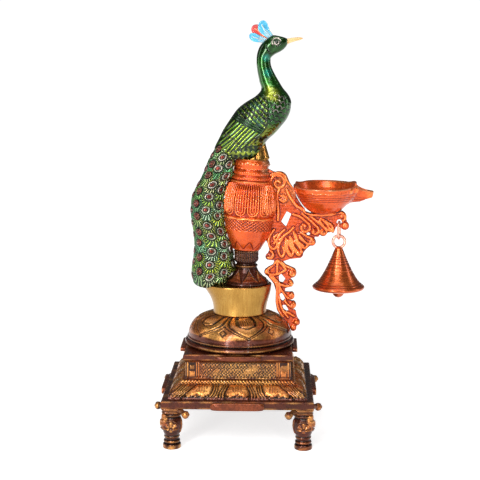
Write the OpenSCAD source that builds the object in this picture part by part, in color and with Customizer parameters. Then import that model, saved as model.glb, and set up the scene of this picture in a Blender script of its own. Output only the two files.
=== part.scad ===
// Brass standing oil lamp with a peacock, a bracket arm, an oil bowl and a hanging bell.
// Cast, turned and lacquered brass pieces on one steel tie rod, on a four-legged square plinth.
// Origin: centre of the base on the floor. +Z is up, +X is the bowl side, -Y is the front.

/* [Base] */
// Width of the square base slab
base_w = 128; // [122:1:134]
// Height of the legs from the floor to the slab
leg_h = 35.5; // [32:0.5:40]
// Distance of each leg's centre from the middle, along X and Y
leg_pos = 55.5; // [53:0.5:56]
// Radius of the round foot
foot_r = 7.5; // [6.5:0.1:8]
// Height of the plain edge of the round foot
foot_h = 3.6; // [3:0.1:4.5]
// Width of the raised tab in the middle of each slab edge
tab_w = 45; // [36:1:52]
// Wall of the hollow plinth casting
plinth_wall = 4.4; // [3.5:0.1:6]

/* [Column] */
// Radius of the lotus dome at its rim
dome_r = 48.2; // [46:0.1:49]
// Radius of the plain collar where it meets the dome
collar_r = 23; // [21:0.5:24]
// Radius of the stem's foot
stem_r = 18.7; // [17:0.1:19]
// Widest radius of the vase
vase_r = 23.4; // [22:0.1:24]
// Lean of the vase towards the bowl, in degrees
vase_lean = 4; // [2:0.5:5]
// Number of petals round the vase
flutes = 13; // [10:1:16]

/* [Bird] */
// Wall of the hollow train
train_wall = 3.2; // [2.4:0.1:4]

/* [Bracket and bowl] */
// Thickness of the pierced bracket plate
bracket_t = 4.6; // [4:0.1:5]
// Radius of the oil bowl at the rim
bowl_r = 27; // [25:0.5:28]
// Radius of the hole the bell link hangs in
link_hole_r = 2.3; // [2.2:0.05:2.5]

/* [Bell] */
// Radius of the link's wire
link_wire_r = 1.0; // [0.8:0.05:1.1]
// Radius of the bell at the lip
bell_r = 22.9; // [21:0.1:24]
// Radius of the clapper's ball
ball_r = 5.5; // [4.5:0.1:6]

/* [Hidden] */
$fn = 64;
green = [0.10, 0.36, 0.08];
brass = [0.78, 0.62, 0.32];
copper = [0.88, 0.36, 0.10];
antique = [0.30, 0.16, 0.08];
blue = [0.12, 0.55, 0.68];
steel = [0.62, 0.62, 0.60];

lift = leg_h - 35.5;
slab_z = 35.5;
rod_x = 6;
rod_r = 3;
vase_foot = [5.7, 0, 161];
bowl_x = 73.5;
bowl_z = 193.6;
bell_x = 86.5;
hole_z = 185.4;
link_half = link_wire_r + 2.9;
link_gap = 0.25;
ring_z = 168;
ring_mid_r = 5.2;
ring_wire_r = 1.3;
link_top = hole_z;
link_low = ring_z + ring_mid_r - ring_wire_r - link_wire_r - link_gap;
clapper_z = 152.5;

// Points on an arc about c, from angle a to angle b, in steps.
function arc(c, r, a, b, n = 8) =
    [for (i = [0:n]) [c[0] + r * cos(a + (b - a) * i / n), c[1] + r * sin(a + (b - a) * i / n)]];

// Points on a quarter ellipse about c.
function bow(c, rx, rz, a, b, n = 10) =
    [for (i = [0:n]) [c[0] + rx * cos(a + (b - a) * i / n), c[1] + rz * sin(a + (b - a) * i / n)]];

// One half profile run round a square plan, so the corners mitre like a moulding.
module square_moulding(half) {
    pts = concat(half, [for (i = [len(half) - 1:-1:0]) [-half[i][0], half[i][1]]]);
    intersection() {
        rotate([90, 0, 0])
            linear_extrude(height = 2 * base_w, center = true)
                polygon(pts);
        rotate([90, 0, 90])
            linear_extrude(height = 2 * base_w, center = true)
                polygon(pts);
    }
}

// A box given by its middle and its size.
module block(mid, size) {
    translate(mid)
        cube(size, center = true);
}

// A plate drawn in X and Z, centred on the XZ plane.
module upright(thick) {
    rotate([90, 0, 0])
        linear_extrude(height = thick, center = true)
            children();
}

// Hollow square plinth: slab, hipped skirt, bead, panelled neck and top slab.
module plinth() {
    skirt = [[base_w / 2 - 5.6, 42.3], [57.4, 45.4], [54.6, 48.8], [51.2, 51.3], [47.6, 52.4]];
    outer = concat([[0.01, slab_z], [base_w / 2, slab_z], [base_w / 2, 41.6], [base_w / 2 - 0.8, 42.3]],
                   skirt, arc([46.2, 54.4], 1.9, -75, 75, 6),
                   [[44, 57], [44, 71.4], [46.4, 73.2], [46.4, 77.2], [45.8, 77.8], [0.01, 77.8]]);
    neck = 44 - plinth_wall;
    inner = [[0.01, slab_z - 1], [46.5, slab_z - 1], [46.5, 44.6], [neck, 44.6], [neck, 73.5], [0.01, 73.5]];
    color(antique)
    translate([0, 0, lift])
    difference() {
        union() {
            square_moulding(outer);
            for (a = [0:90:270])
                rotate([0, 0, a]) {
                    block([base_w / 2, 0, 38.9], [7, tab_w, 6.4]);
                    block([48, 0, 75.4], [6, 40, 3.6]);
                    for (s = [-1, 1])
                        block([44, 36.5 * s, 64.4], [1.6, 10, 13]);
                }
        }
        square_moulding(inner);
        for (x = [-1, 1])
            for (y = [-1, 1])
                translate([leg_pos * x, leg_pos * y, slab_z - 1])
                    cylinder(r = 4, h = 6.2);
        translate([rod_x, 0, 70])
            cylinder(r = rod_r + 0.4, h = 10);
    }
}

// One cast leg: ring foot, ankle, swelling knee, square cap, tenon and two scroll knobs.
module leg(sx, sy) {
    h = leg_h;
    knee = concat([[0, 0], [foot_r, 0], [foot_r, foot_h]],
                  arc([foot_r - 1.1, foot_h + 1.1], 1.1, 0, 90, 4),
                  [[5.7, 6.2], [5.5, 8.6], [6.4, 10.2], [6.0, 11.4], [7.2, 14], [8.1, 18],
                   [8.0, 21.5], [7.0, 25.5], [6.2, 28.2], [7.2, 29.4], [7.2, 31], [0, 31]]);
    color(antique)
    translate([leg_pos * sx, leg_pos * sy, 0]) {
        rotate_extrude()
            polygon(knee);
        block([0, 0, h - 2.4], [17, 17, 4.8]);
        translate([0, 0, h - 0.5])
            cylinder(r = 3.9, h = 5.5);
        for (k = [[-sx * 12.6, sy * 12.7], [sx * 12.7, -sy * 12.6]]) {
            block([k[0] / 2, k[1] / 2, h - 2], [abs(k[0]) + 3, abs(k[1]) + 3, 4]);
            translate([k[0], k[1], h - 3.2])
                sphere(r = 3.4);
        }
        translate([sx * 5.4, sy * 5.4, 19.5])
            sphere(r = 3.6);
        translate([sx * 6.6, sy * 6.6, h - 6.4])
            sphere(r = 2.8);
    }
}

// Round lotus dome, hollow, with a roll moulding at its rim.
module lotus_dome() {
    roll = 2.6;
    outer = concat([[0, 77.8], [dome_r - 3.4, 77.8]],
                   arc([dome_r - roll, 80.4], roll, -60, 80, 8),
                   [[dome_r - 3.4, 83.4]], arc([dome_r - 3.6, 84.6], 1.2, -70, 70, 5),
                   bow([22, 85.4], dome_r - 25.2, 19.6, 4, 90, 14), [[0, 105]]);
    inner = concat([[0, 76], [dome_r - 7, 76]], bow([22, 80], dome_r - 29, 21.2, 0, 90, 10), [[0, 101.2]]);
    color(antique)
    translate([0, 0, lift])
    difference() {
        union() {
            rotate_extrude()
                polygon(outer);
            for (i = [0:11])
                rotate([0, 0, 30 * i + 15])
                    translate([42.4, 0, 90.4])
                        rotate([0, 62, 0])
                            cylinder(r = 4.6, h = 1.4, center = true);
        }
        rotate_extrude()
            polygon(inner);
        translate([rod_x, 0, 95])
            cylinder(r = rod_r + 0.4, h = 12);
    }
}

// Plain brass collar: round at the foot, flaring to an oval table that the bird's train rests on.
module collar_slice(x, z, a, b) {
    translate([x, 0, z])
        linear_extrude(height = 0.05)
            scale([a / b, 1])
                circle(r = b, $fn = 48);
}

module brass_collar() {
    cuts = [[0.3, 105, collar_r + 0.3, collar_r], [0.4, 112, collar_r + 0.6, collar_r],
            [0.2, 119, 25.6, 23.4], [-0.8, 125, 28.2, 24.2], [-2.4, 130.95, 30.6, 25]];
    color(brass)
    translate([0, 0, lift])
    difference() {
        for (i = [0:3])
            hull() {
                collar_slice(cuts[i][0], cuts[i][1], cuts[i][2], cuts[i][3]);
                collar_slice(cuts[i + 1][0], cuts[i + 1][1], cuts[i + 1][2], cuts[i + 1][3]);
            }
        translate([0, 0, 104])
            cylinder(r = collar_r - 3.5, h = 22);
        translate([rod_x, 0, 120])
            cylinder(r = rod_r + 0.4, h = 12);
    }
}

// Turned stem: leafed foot, waist and three ribs, tapped for the tie rod, with a spigot on top.
module stem() {
    body = concat([[0, 131], [stem_r, 131], [stem_r, 133], [16.4, 134.4], [12.6, 138.6],
                   [9.8, 143.4], [8.4, 148.4], [9, 150.8]],
                  arc([9, 152.6], 1.4, -80, 80, 6), arc([9, 156], 1.4, -80, 80, 6),
                  arc([9, 159.3], 1.4, -80, 80, 6), [[8.6, 161], [0, 161]]);
    color(antique)
    translate([rod_x, 0, lift])
    difference() {
        union() {
            rotate_extrude()
                polygon(body);
            translate([0, 0, 160])
                cylinder(r = 5, h = 6);
        }
        translate([0, 0, 130])
            cylinder(r = rod_r - 0.1, h = 17);
    }
}

// Half profile of the vase, from its foot at 0 to its lip at 79.
function vase_side(r) =
    concat([[11.4, 0], [12.6, 1.4], [15.6, 6], [18.3, 11], [19.8, 15.4], [20.8, 16], [20.8, 17.4]],
           [[20.3, 18], [21.4, 27.6], [22.2, 28.2], [22.2, 29.4]],
           [for (i = [0:8]) [r - 0.5 - 6.4 * pow((i - 3) / 5, 2) * (i < 3 ? 0.25 : 1), 30 + 3.5 * i]],
           [[15.6, 59.4], [15.4, 61]], arc([15.3, 62.6], 1.2, -80, 80, 5),
           [[14.8, 65.4]], arc([15.2, 67.2], 1.2, -80, 80, 5), [[13.6, 70.6]],
           arc([13.6, 75.2], 2.6, -70, 70, 6), [[13.2, 79]]);

// Leaning vase: fluted petals, hatched band, ringed neck and rolled lip, open at the top.
module vase() {
    side = vase_side(vase_r);
    color(copper)
    translate([vase_foot[0], 0, vase_foot[2] + lift])
    rotate([0, vase_lean, 0])
    difference() {
        union() {
            rotate_extrude()
                polygon(concat([[0, 0]], side, [[0, 79]]));
            for (i = [0:flutes - 1])
                rotate([0, 0, 360 * i / flutes])
                    translate([vase_r - 3, 0, 33])
                        sphere(r = 3.1, $fn = 32);
        }
        rotate_extrude()
            polygon([[0, 6.5], [9, 6.5], [15.6, 13], [18, 20], [18.8, 36], [16, 50], [12.3, 58],
                     [11.4, 72], [11.4, 80], [0, 80]]);
        translate([0.3, 0, -1])
            rotate([0, -vase_lean, 0])
                cylinder(r = 5, h = 12);
    }
}

// Perch under the bird: a plug in the vase mouth and the two legs cast as one wedge.
module perch() {
    color(brass)
    translate([0, 0, lift]) {
        translate([10.6, 0, 229])
            rotate([0, vase_lean, 0])
                cylinder(r = 11.4, h = 11.6);
        hull() {
            translate([12, 0, 240])
                cylinder(r = 13.6, h = 1, $fn = 32);
            translate([13, 0, 252])
                cylinder(r = 10.6, h = 1, $fn = 32);
        }
    }
}

// A ball flattened across the bird, at [x, z, radius].
module lobe(p, flat) {
    translate([p[0], 0, p[1]])
        scale([1, flat, 1])
            sphere(r = p[2], $fn = 28);
}

// Bird's body in one casting: bill, head, neck, breast, back and thigh.
module peacock_body() {
    spine = [[36.4, 337.6, 4.4], [28.4, 337.4, 7], [21.4, 330, 6.4], [20.9, 323, 5.9],
             [21.6, 316.5, 6.4], [23.8, 309.5, 7.6], [26.4, 302.5, 9.2], [28.4, 294, 13],
             [27.4, 285.6, 16.4], [17, 276.6, 17.2], [8, 266.6, 17.2], [1, 256.5, 15]];
    color(green)
    translate([0, 0, lift]) {
        for (i = [0:len(spine) - 2])
            hull() {
                lobe(spine[i], i < 7 ? 0.92 : 0.84);
                lobe(spine[i + 1], i < 6 ? 0.92 : 0.84);
            }
        hull() {
            lobe([39.6, 339.4, 2.9], 0.8);
            translate([52.6, 0, 341.6])
                sphere(r = 0.5, $fn = 12);
        }
    }
}

// Hollow train of tail feathers down to the collar, with raised feather eyes on both sides.
module peacock_tail() {
    train = [[-5, 252, 14.6], [-12, 242.5, 13.2], [-17.4, 231, 13.6], [-22.2, 219, 14.4],
             [-25.8, 206.5, 15.6], [-26.6, 193, 15.6], [-25.6, 179, 15.6], [-23.6, 164.5, 16.2],
             [-23, 149, 18.2]];
    core = concat([for (i = [3:len(train) - 1]) train[i] - [0, 0, train_wall]], [[-23, 140, 13]]);
    color(green)
    translate([0, 0, lift])
    difference() {
        union() {
            for (i = [0:len(train) - 2])
                hull() {
                    lobe(train[i], 0.96);
                    lobe(train[i + 1], 0.96);
                }
            for (i = [2:len(train) - 1])
                for (s = [-1, 1])
                    for (j = [-1:1])
                        translate([train[i][0], 0, train[i][1] + 4 * abs(j)])
                            rotate([0, 0, 40 * j])
                                rotate([90 * s, 0, 0])
                                    cylinder(r = 2.8, h = 0.96 * train[i][2] + 0.4, $fn = 16);
        }
        for (i = [0:len(core) - 2])
            hull() {
                lobe(core[i], 0.96);
                lobe(core[i + 1], 0.96);
            }
        block([0, 0, 121], [120, 60, 20]);
    }
}

// Crest: three flat plumes fanned behind the head.
module crest() {
    root = [26, 341.5];
    plumes = [[20.4, 352.6, 4.4], [13, 350.6, 3.6], [11.9, 345.4, 3.4]];
    color(blue)
    translate([0, 0, lift])
    for (i = [0:2])
        translate([0, 0.7 * (i - 1), 0])
            upright(1.8)
                hull() {
                    translate(root)
                        circle(r = 1.6, $fn = 16);
                    translate([plumes[i][0], plumes[i][1]])
                        circle(r = plumes[i][2], $fn = 24);
                }
}

// Top edge of the bracket under the bowl: a flat seat with a rising lip at each side.
function seat_edge() =
    [[bowl_x - 12, bowl_z - 1], [bowl_x - 9.6, bowl_z], [bowl_x + 9.2, bowl_z], [bowl_x + 11, bowl_z - 0.5]];

// Outline of the bracket plate, clockwise from the top of the vase: leaf tips and scrolls are arcs.
function bracket_edge() =
    concat([[24.6, 231.6], [28.4, 229.6]], arc([34.6, 221.8], 7.4, 118, 30, 8),
           [[44, 218.4], [45.8, 212.6], [48, 206.6], [51.2, 201.2], [54.2, 197.4], [57.2, 194]], seat_edge(),
           arc([88.1, 190.3], 4.6, 90, -20, 8), arc([91.4, 182.2], 3.8, 60, -130, 8),
           [[87.6, 181], [84, 181.6], [82.9, 178.6], [81.2, 175.4]],
           arc([78, 178.4], 2.2, -40, -110, 3), arc([72.6, 176.2], 3.4, -10, -150, 7),
           arc([67.4, 175.2], 3, -60, -130, 4), arc([62.8, 168], 3.7, 50, -110, 8),
           [[58.2, 161.6]], arc([51.6, 157.4], 4, 10, -100, 6), [[44, 152.6], [38.2, 150.6], [40.2, 147.6]],
           arc([45.4, 140.4], 4.5, 70, -60, 7), [[44.2, 135.6]], arc([44.6, 131.2], 3, 60, -100, 6),
           [[40, 126.6], [40, 123.6]], arc([45, 120.2], 3.3, 110, -100, 8), [[42.8, 116.2]],
           arc([46.6, 112.2], 3.3, 100, -90, 7), [[49.6, 106.4], [50.6, 101.4]],
           arc([50.2, 96.4], 3.2, 60, -90, 6), arc([47.3, 91.2], 2.9, -20, -170, 7),
           [[44, 92.6], [42.6, 95.2], [39.4, 98.9], [36.4, 101.2], [32.8, 107.4], [31.6, 114.8]],
           [[32, 124], [30, 130.6]],
           [[26.6, 135.4]], arc([25, 141.2], 3.4, 250, 120, 7), [[29.6, 147.4], [30.6, 151.4]],
           arc([25.4, 154.6], 2.8, 250, 110, 7), [[26, 160.6], [24.6, 167], [20.6, 172], [19.2, 176]],
           [[24.4, 180], [29, 189], [31.4, 200], [29.8, 210], [24.4, 221.4]]);

// Ledge along the top of the bracket that the bowl stands on.
function ledge_edge() =
    concat([[54.2, 197.4], [57.2, 194]], seat_edge(),
           arc([88.1, 190.3], 4.6, 90, 60, 4), arc([88.1, 190.3], 2.6, 60, 110, 4),
           [[82, 191.2], [72, 190.8], [62, 191], [57, 192.2], [53.4, 196.2]]);

// Pierced scroll bracket, cast in one plate with raised scroll ends.
module bracket() {
    scrolls = [[34.6, 221.6, 4.6], [37, 205.6, 3.6], [51.4, 180.2, 3.6], [63, 177.6, 2.9],
               [72.6, 176.4, 2.2], [45.4, 140.4, 2.8], [44.8, 131.2, 2], [45.2, 120.2, 2.2],
               [46.8, 112.2, 2.2], [50, 96.4, 2]];
    openings = [[[36.2, 185.6], [40.4, 181], [45, 192.4], [41, 194.6]],
                [[34.4, 137.6], [36.4, 139.8], [40.2, 135.2], [38, 131.6], [35, 132.2]],
                [[34.8, 121.6], [37.4, 122.8], [40.4, 117.2], [38.4, 115], [36, 116.4]],
                [[37.6, 111.6], [40.4, 111.8], [43.2, 107.2], [41.6, 105.4], [38.8, 107.4]]];
    color(copper)
    translate([0, 0, lift])
    difference() {
        union() {
            upright(bracket_t)
                polygon(bracket_edge());
            upright(10)
                polygon(ledge_edge());
            for (s = scrolls)
                translate([s[0], 0, s[1]])
                    rotate([90, 0, 0])
                        cylinder(r = s[2], h = bracket_t + 2.4, center = true, $fn = 32);
            translate([bowl_x, 0, 187])
                cylinder(r = 3.6, h = 6.5);
            translate([bowl_x, 0, 192])
                cylinder(r = 9, h = bowl_z - 192);
        }
        for (o = openings)
            upright(20)
                polygon(o);
        translate([59.8, 0, 174.8])
            rotate([90, 0, 0])
                cylinder(r = 1.5, h = 20, center = true, $fn = 32);
        translate([bell_x, 0, hole_z])
            rotate([90, 0, 0])
                cylinder(r = link_hole_r, h = 20, center = true);
        translate([bowl_x, 0, 184])
            cylinder(r = 1.5, h = 12);
    }
}

// Oil bowl: turned bowl with a pinched spout and a scalloped lobe either side of it.
module bowl() {
    r = bowl_r;
    z = bowl_z;
    outer = [[0, z], [9.6, z], [12.6, z + 1], [15.2, z + 2.8], [r * 0.67, z + 5.6], [r * 0.775, z + 9.4],
             [r * 0.87, z + 13.6], [r * 0.94, z + 17.8], [r * 0.985, z + 21.6], [r, z + 23.6], [r - 0.7, z + 24.4]];
    inner = [[0, z + 4.4], [8, z + 4.6], [12.8, z + 6.8], [16.8, z + 10.4], [19.8, z + 14.2], [r - 4.6, z + 18],
             [r - 3, z + 21.4], [r - 2.2, z + 25], [0, z + 25]];
    color(copper)
    translate([bowl_x, 0, lift])
    difference() {
        union() {
            rotate_extrude()
                polygon(concat(outer, [[r - 2.2, z + 24.4], [0, z + 24.4]]));
            hull() {
                translate([14, 0, z + 19.4])
                    cylinder(r = 15, h = 4, $fn = 32);
                translate([20, 0, z + 13])
                    sphere(r = 5, $fn = 24);
                translate([38.6, 0, z + 14.9])
                    sphere(r = 3.6, $fn = 24);
            }
            for (s = [-1, 1])
                translate([27, 10 * s, z + 20.4])
                    sphere(r = 3.2);
        }
        rotate_extrude()
            polygon(inner);
        hull() {
            translate([14, 0, z + 20])
                cylinder(r = 11.6, h = 6, $fn = 32);
            translate([16, 0, z + 14.4])
                sphere(r = 2.6, $fn = 24);
            translate([38, 0, z + 19])
                sphere(r = 2.2, $fn = 24);
            translate([36, 0, z + 24])
                sphere(r = 3, $fn = 24);
        }
        translate([0, 0, z - 1])
            cylinder(r = 1.8, h = 8);
    }
}

// Round-headed screw through the bowl's floor into the bracket.
module bowl_screw() {
    color(copper)
    translate([bowl_x, 0, lift]) {
        rotate_extrude()
            polygon([[0, bowl_z + 4.4], [3.8, bowl_z + 4.6], [3.6, bowl_z + 5.6], [2.2, bowl_z + 6.4],
                     [0, bowl_z + 6.6]]);
        translate([0, 0, 187])
            cylinder(r = 1.5, h = bowl_z + 5 - 187);
    }
}

// Oval wire link round the bracket's hole, lying fore and aft.
module link() {
    color(copper)
    translate([bell_x, 0, lift])
    rotate([0, -90, 0]) {
        for (e = [[link_top - link_half, -90], [link_low + link_half, 90]])
            translate([e[0], 0, 0])
                rotate([0, 0, e[1]])
                    rotate_extrude(angle = 180)
                        translate([link_half, 0])
                            circle(r = link_wire_r, $fn = 32);
        for (s = [-1, 1])
            translate([link_low + link_half, s * link_half, 0])
                rotate([0, 90, 0])
                    cylinder(r = link_wire_r, h = link_top - link_low - 2 * link_half, $fn = 32);
    }
}

// Bell: a thin turned cone with a flared lip, two grooves and a small lug on the crown.
module bell() {
    r = bell_r;
    outer = [[0, 163.8], [1.9, 163.8], [2.3, 162.6], [3.3, 162], [4.1, 160], [6, 155.6], [8.3, 150.8],
             [8.0, 150.3], [8.9, 148.8], [10.9, 145], [10.6, 144.5], [12.6, 141.2], [15.2, 136.8],
             [18.4, 132.6], [18.2, 131.9], [r - 1.2, 129.6], [r, 128.4], [r - 0.6, 126.9], [r - 2.2, 126]];
    inner = [[r - 2.6, 126], [r - 4.2, 129.6], [14.2, 134.8], [10.8, 140.6], [7.2, 147.8],
             [4.6, 153.6], [3.4, 157.4], [0, 158]];
    color(copper)
    translate([bell_x, 0, lift])
    rotate_extrude()
        polygon(concat(outer, inner));
}

// Flat-lying ring brazed to the bell's crown.
module bell_ring() {
    color(copper)
    translate([bell_x, 0, ring_z + lift])
    rotate([90, 0, 0])
    rotate_extrude()
        translate([ring_mid_r, 0])
            circle(r = ring_wire_r, $fn = 32);
}

// Wire staple in the bell's crown that the clapper hooks on.
module clapper_staple() {
    wire = 0.6;
    half = 1.9;
    color(steel)
    translate([bell_x, 0, clapper_z + half + lift])
    rotate([0, -90, 0]) {
        rotate([0, 0, 90])
            rotate_extrude(angle = 180)
                translate([half, 0])
                    circle(r = wire, $fn = 24);
        for (s = [-1, 1])
            translate([0, s * half, 0])
                rotate([0, 90, 0])
                    cylinder(r = wire, h = 4, $fn = 24);
    }
}

// Clapper: an eye, a rod and a ball.
module clapper() {
    ball_z = 124;
    color(copper)
    translate([bell_x, 0, lift]) {
        translate([0, 0, clapper_z])
            rotate([90, 0, 0])
                rotate_extrude()
                    translate([1.7, 0])
                        circle(r = 0.7, $fn = 24);
        translate([0, 0, ball_z])
            cylinder(r = 0.9, h = clapper_z - 1.5 - ball_z);
        translate([0, 0, ball_z])
            sphere(r = ball_r);
    }
}

// Steel tie rod from under the plinth's top into the stem.
module tie_rod() {
    color(steel)
    translate([rod_x, 0, 63.5 + lift])
        cylinder(r = rod_r, h = 82.5);
}

module tie_washer() {
    color(steel)
    translate([rod_x, 0, 72 + lift])
    difference() {
        cylinder(r = 8, h = 1.5);
        translate([0, 0, -1])
            cylinder(r = rod_r + 0.2, h = 4);
    }
}

module tie_nut() {
    color(steel)
    translate([rod_x, 0, 66.8 + lift])
    difference() {
        cylinder(r = 5.8, h = 5.2, $fn = 6);
        translate([0, 0, -1])
            cylinder(r = rod_r - 0.1, h = 8);
    }
}

plinth();
leg(-1, -1);  // leg_front_left
leg(1, -1);  // leg_front_right
leg(-1, 1);  // leg_back_left
leg(1, 1);  // leg_back_right
lotus_dome();
brass_collar();
stem();
vase();
perch();
peacock_body();
peacock_tail();
crest();
bracket();
bowl();
bowl_screw();
link();
bell();
bell_ring();
clapper_staple();
clapper();
tie_rod();
tie_washer();
tie_nut();
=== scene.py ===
import functools
import math

import bmesh
import bpy
import numpy as np
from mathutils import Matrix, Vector


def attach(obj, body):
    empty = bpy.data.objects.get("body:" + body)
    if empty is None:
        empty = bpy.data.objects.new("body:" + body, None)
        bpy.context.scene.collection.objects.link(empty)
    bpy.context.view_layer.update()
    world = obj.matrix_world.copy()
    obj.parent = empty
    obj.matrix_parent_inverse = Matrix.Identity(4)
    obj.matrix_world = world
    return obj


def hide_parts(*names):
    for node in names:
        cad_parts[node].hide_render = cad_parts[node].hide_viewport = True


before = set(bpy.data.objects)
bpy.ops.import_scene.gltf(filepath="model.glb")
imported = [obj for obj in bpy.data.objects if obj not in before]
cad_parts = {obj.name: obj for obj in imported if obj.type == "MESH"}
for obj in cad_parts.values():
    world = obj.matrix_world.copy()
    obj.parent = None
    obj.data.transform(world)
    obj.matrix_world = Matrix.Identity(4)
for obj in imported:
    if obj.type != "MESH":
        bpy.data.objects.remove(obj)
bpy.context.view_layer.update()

MM = 0.001
PI = math.pi
TAU = math.tau


# ---------------------------------------------------------------- mesh helpers
def ease(x, a, b):
    """0 below a, 1 above b, smooth between."""
    t = np.clip((np.asarray(x, float) - a) / (b - a), 0.0, 1.0)
    return t * t * (3 - 2 * t)


def between(x, a, b, c, d):
    """1 from b to c, 0 below a and above d, smooth between."""
    return ease(x, a, b) * (1 - ease(x, c, d))


def most(*fields):
    """The largest of several fields, point by point."""
    return functools.reduce(np.maximum, fields)


def points(*axes):
    """Points from their X, Y and Z fields."""
    return np.stack(np.broadcast_arrays(*axes), axis=-1)


def angles(n):
    """n angles evenly round a circle."""
    return np.linspace(0, TAU, n, endpoint=False)


def squared(a, power):
    """Cosine and sine of a, flattened towards a square by a power below 1."""
    return [np.sign(f(a)) * np.abs(f(a)) ** power for f in (np.cos, np.sin)]


def swing(p, angle):
    """The points turned about Z."""
    c, s = math.cos(angle), math.sin(angle)
    return points(p[..., 0] * c - p[..., 1] * s, p[..., 0] * s + p[..., 1] * c, p[..., 2])


def stroke(d, w):
    """1 on a line where d is 0, falling to 0 at distance w."""
    return 1 - ease(np.abs(d), 0.25 * w, w)


def strokes(x, *lines):
    """Lines at (place, width) along x, the strongest at each point."""
    return most(*[stroke(x - at, width) for at, width in lines])


def bump(d, w):
    """A round ridge of half width w where d is 0."""
    return np.sqrt(np.clip(1 - (d / w) ** 2, 0, 1))


def wobble(p, size, seed=0.0):
    """Smooth uneven field in -1..1 at points p (..., 3), with features about size mm across."""
    q = np.asarray(p, float) / size
    x, y, z = q[..., 0], q[..., 1], q[..., 2]
    a = np.sin(1.7 * x + 2.3 * np.sin(1.1 * z + seed) + seed)
    b = np.sin(1.9 * y + 1.7 * np.sin(1.3 * x - seed) + 2 * seed)
    c = np.sin(2.1 * z + 1.9 * np.sin(0.9 * y + 2 * seed) - seed)
    return (a + b + c) / 3


def curve(at, keys):
    """Smooth curve through keys [(position, value), ...], read at positions at."""
    k = np.array(sorted(keys), float)
    t, v = k[:, 0], k[:, 1]
    m = np.gradient(v, t)
    at = np.clip(np.asarray(at, float), t[0], t[-1])
    i = np.clip(np.searchsorted(t, at) - 1, 0, len(t) - 2)
    h = t[i + 1] - t[i]
    s = (at - t[i]) / h
    return ((2 * s ** 3 - 3 * s ** 2 + 1) * v[i] + (s ** 3 - 2 * s ** 2 + s) * h * m[i]
            + (3 * s ** 2 - 2 * s ** 3) * v[i + 1] + (s ** 3 - s ** 2) * h * m[i + 1])


def path(keys, n):
    """n points along a smooth curve through 2D or 3D keys, evenly by key."""
    k = np.array(keys, float)
    t = np.concatenate([[0], np.cumsum(np.linalg.norm(np.diff(k, axis=0), axis=1))])
    at = np.linspace(0, t[-1], n)
    return np.stack([curve(at, list(zip(t, k[:, c]))) for c in range(k.shape[1])], axis=1)


def profile(keys, n):
    """n points along straight runs between 2D keys, even in length, with every corner kept."""
    k = np.array(keys, float)
    t = np.concatenate([[0], np.cumsum(np.linalg.norm(np.diff(k, axis=0), axis=1))])
    at = np.unique(np.concatenate([np.linspace(0, t[-1], n), t]))
    return np.stack([np.interp(at, t, k[:, 0]), np.interp(at, t, k[:, 1])], axis=1)


def grid_normals(p, wrap_u, wrap_v):
    du = np.roll(p, -1, 0) - np.roll(p, 1, 0)
    dv = np.roll(p, -1, 1) - np.roll(p, 1, 1)
    if not wrap_u:
        du[0], du[-1] = p[1] - p[0], p[-1] - p[-2]
    if not wrap_v:
        dv[:, 0], dv[:, -1] = p[:, 1] - p[:, 0], p[:, -1] - p[:, -2]
    n = np.cross(du, dv)
    return n / np.maximum(np.linalg.norm(n, axis=2, keepdims=True), 1e-9)


def add_mesh(name, verts, faces, masks=None, material=None):
    me = bpy.data.meshes.new(name)
    me.from_pydata((np.asarray(verts) * MM).tolist(), [], faces)
    for key, val in (masks or {}).items():
        layer = me.attributes.new(key, "FLOAT", "POINT")
        layer.data.foreach_set("value", np.ascontiguousarray(val, dtype=np.float32).ravel())
    bm = bmesh.new()
    bm.from_mesh(me)
    bmesh.ops.recalc_face_normals(bm, faces=bm.faces)
    bm.to_mesh(me)
    bm.free()
    me.shade_smooth()
    ob = bpy.data.objects.new(name, me)
    bpy.context.scene.collection.objects.link(ob)
    if material:
        me.materials.append(material)
    return ob


def grid_faces(nu, nv, wrap_u, wrap_v, start=0):
    iu = np.arange(nu if wrap_u else nu - 1)
    iv = np.arange(nv if wrap_v else nv - 1)
    a, b = np.meshgrid(iu, iv, indexing="ij")
    a1, b1 = (a + 1) % nu, (b + 1) % nv
    q = np.stack([a * nv + b, a1 * nv + b, a1 * nv + b1, a * nv + b1], axis=-1)
    return (q.reshape(-1, 4) + start).tolist()


def add_grid(name, p, wrap_u, wrap_v, masks=None, material=None, caps=()):
    """A mesh from a grid of points. caps closes the ends of the v direction with fans: 'start', 'end'."""
    nu, nv = p.shape[:2]
    faces = grid_faces(nu, nv, wrap_u, wrap_v)
    verts = p.reshape(-1, 3)
    extra = {k: v.reshape(-1) for k, v in (masks or {}).items()}
    for cap in caps:
        j = 0 if cap == "start" else nv - 1
        mid = len(verts)
        verts = np.vstack([verts, p[:, j].mean(axis=0)])
        extra = {k: np.append(v, v[np.arange(nu) * nv + j].mean()) for k, v in extra.items()}
        for i in range(nu):
            a, b = i * nv + j, ((i + 1) % nu) * nv + j
            faces.append([a, mid, b] if cap == "start" else [a, b, mid])
    return add_mesh(name, verts, faces, extra, material)


def revolve(side, n, lift, centre=(0, 0, 0), lean=0.0):
    """A turned shape: points, then the angle, radius, height and relief at each. side is (m, 2) radius
    and height, and lift(angle, radius, height) gives the relief along the normal."""
    th = angles(n)
    t, r = np.meshgrid(th, side[:, 0], indexing="ij")
    h = np.broadcast_to(side[:, 1], r.shape)
    p = points(r * np.cos(t), r * np.sin(t), h)
    relief = lift(t, r, h)
    p = p + grid_normals(p, True, False) * relief[..., None]
    c, s = math.cos(lean), math.sin(lean)
    p = points(p[..., 0] * c + p[..., 2] * s, p[..., 1], -p[..., 0] * s + p[..., 2] * c)
    return p + np.array(centre, float), t, r, h, relief


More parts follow.
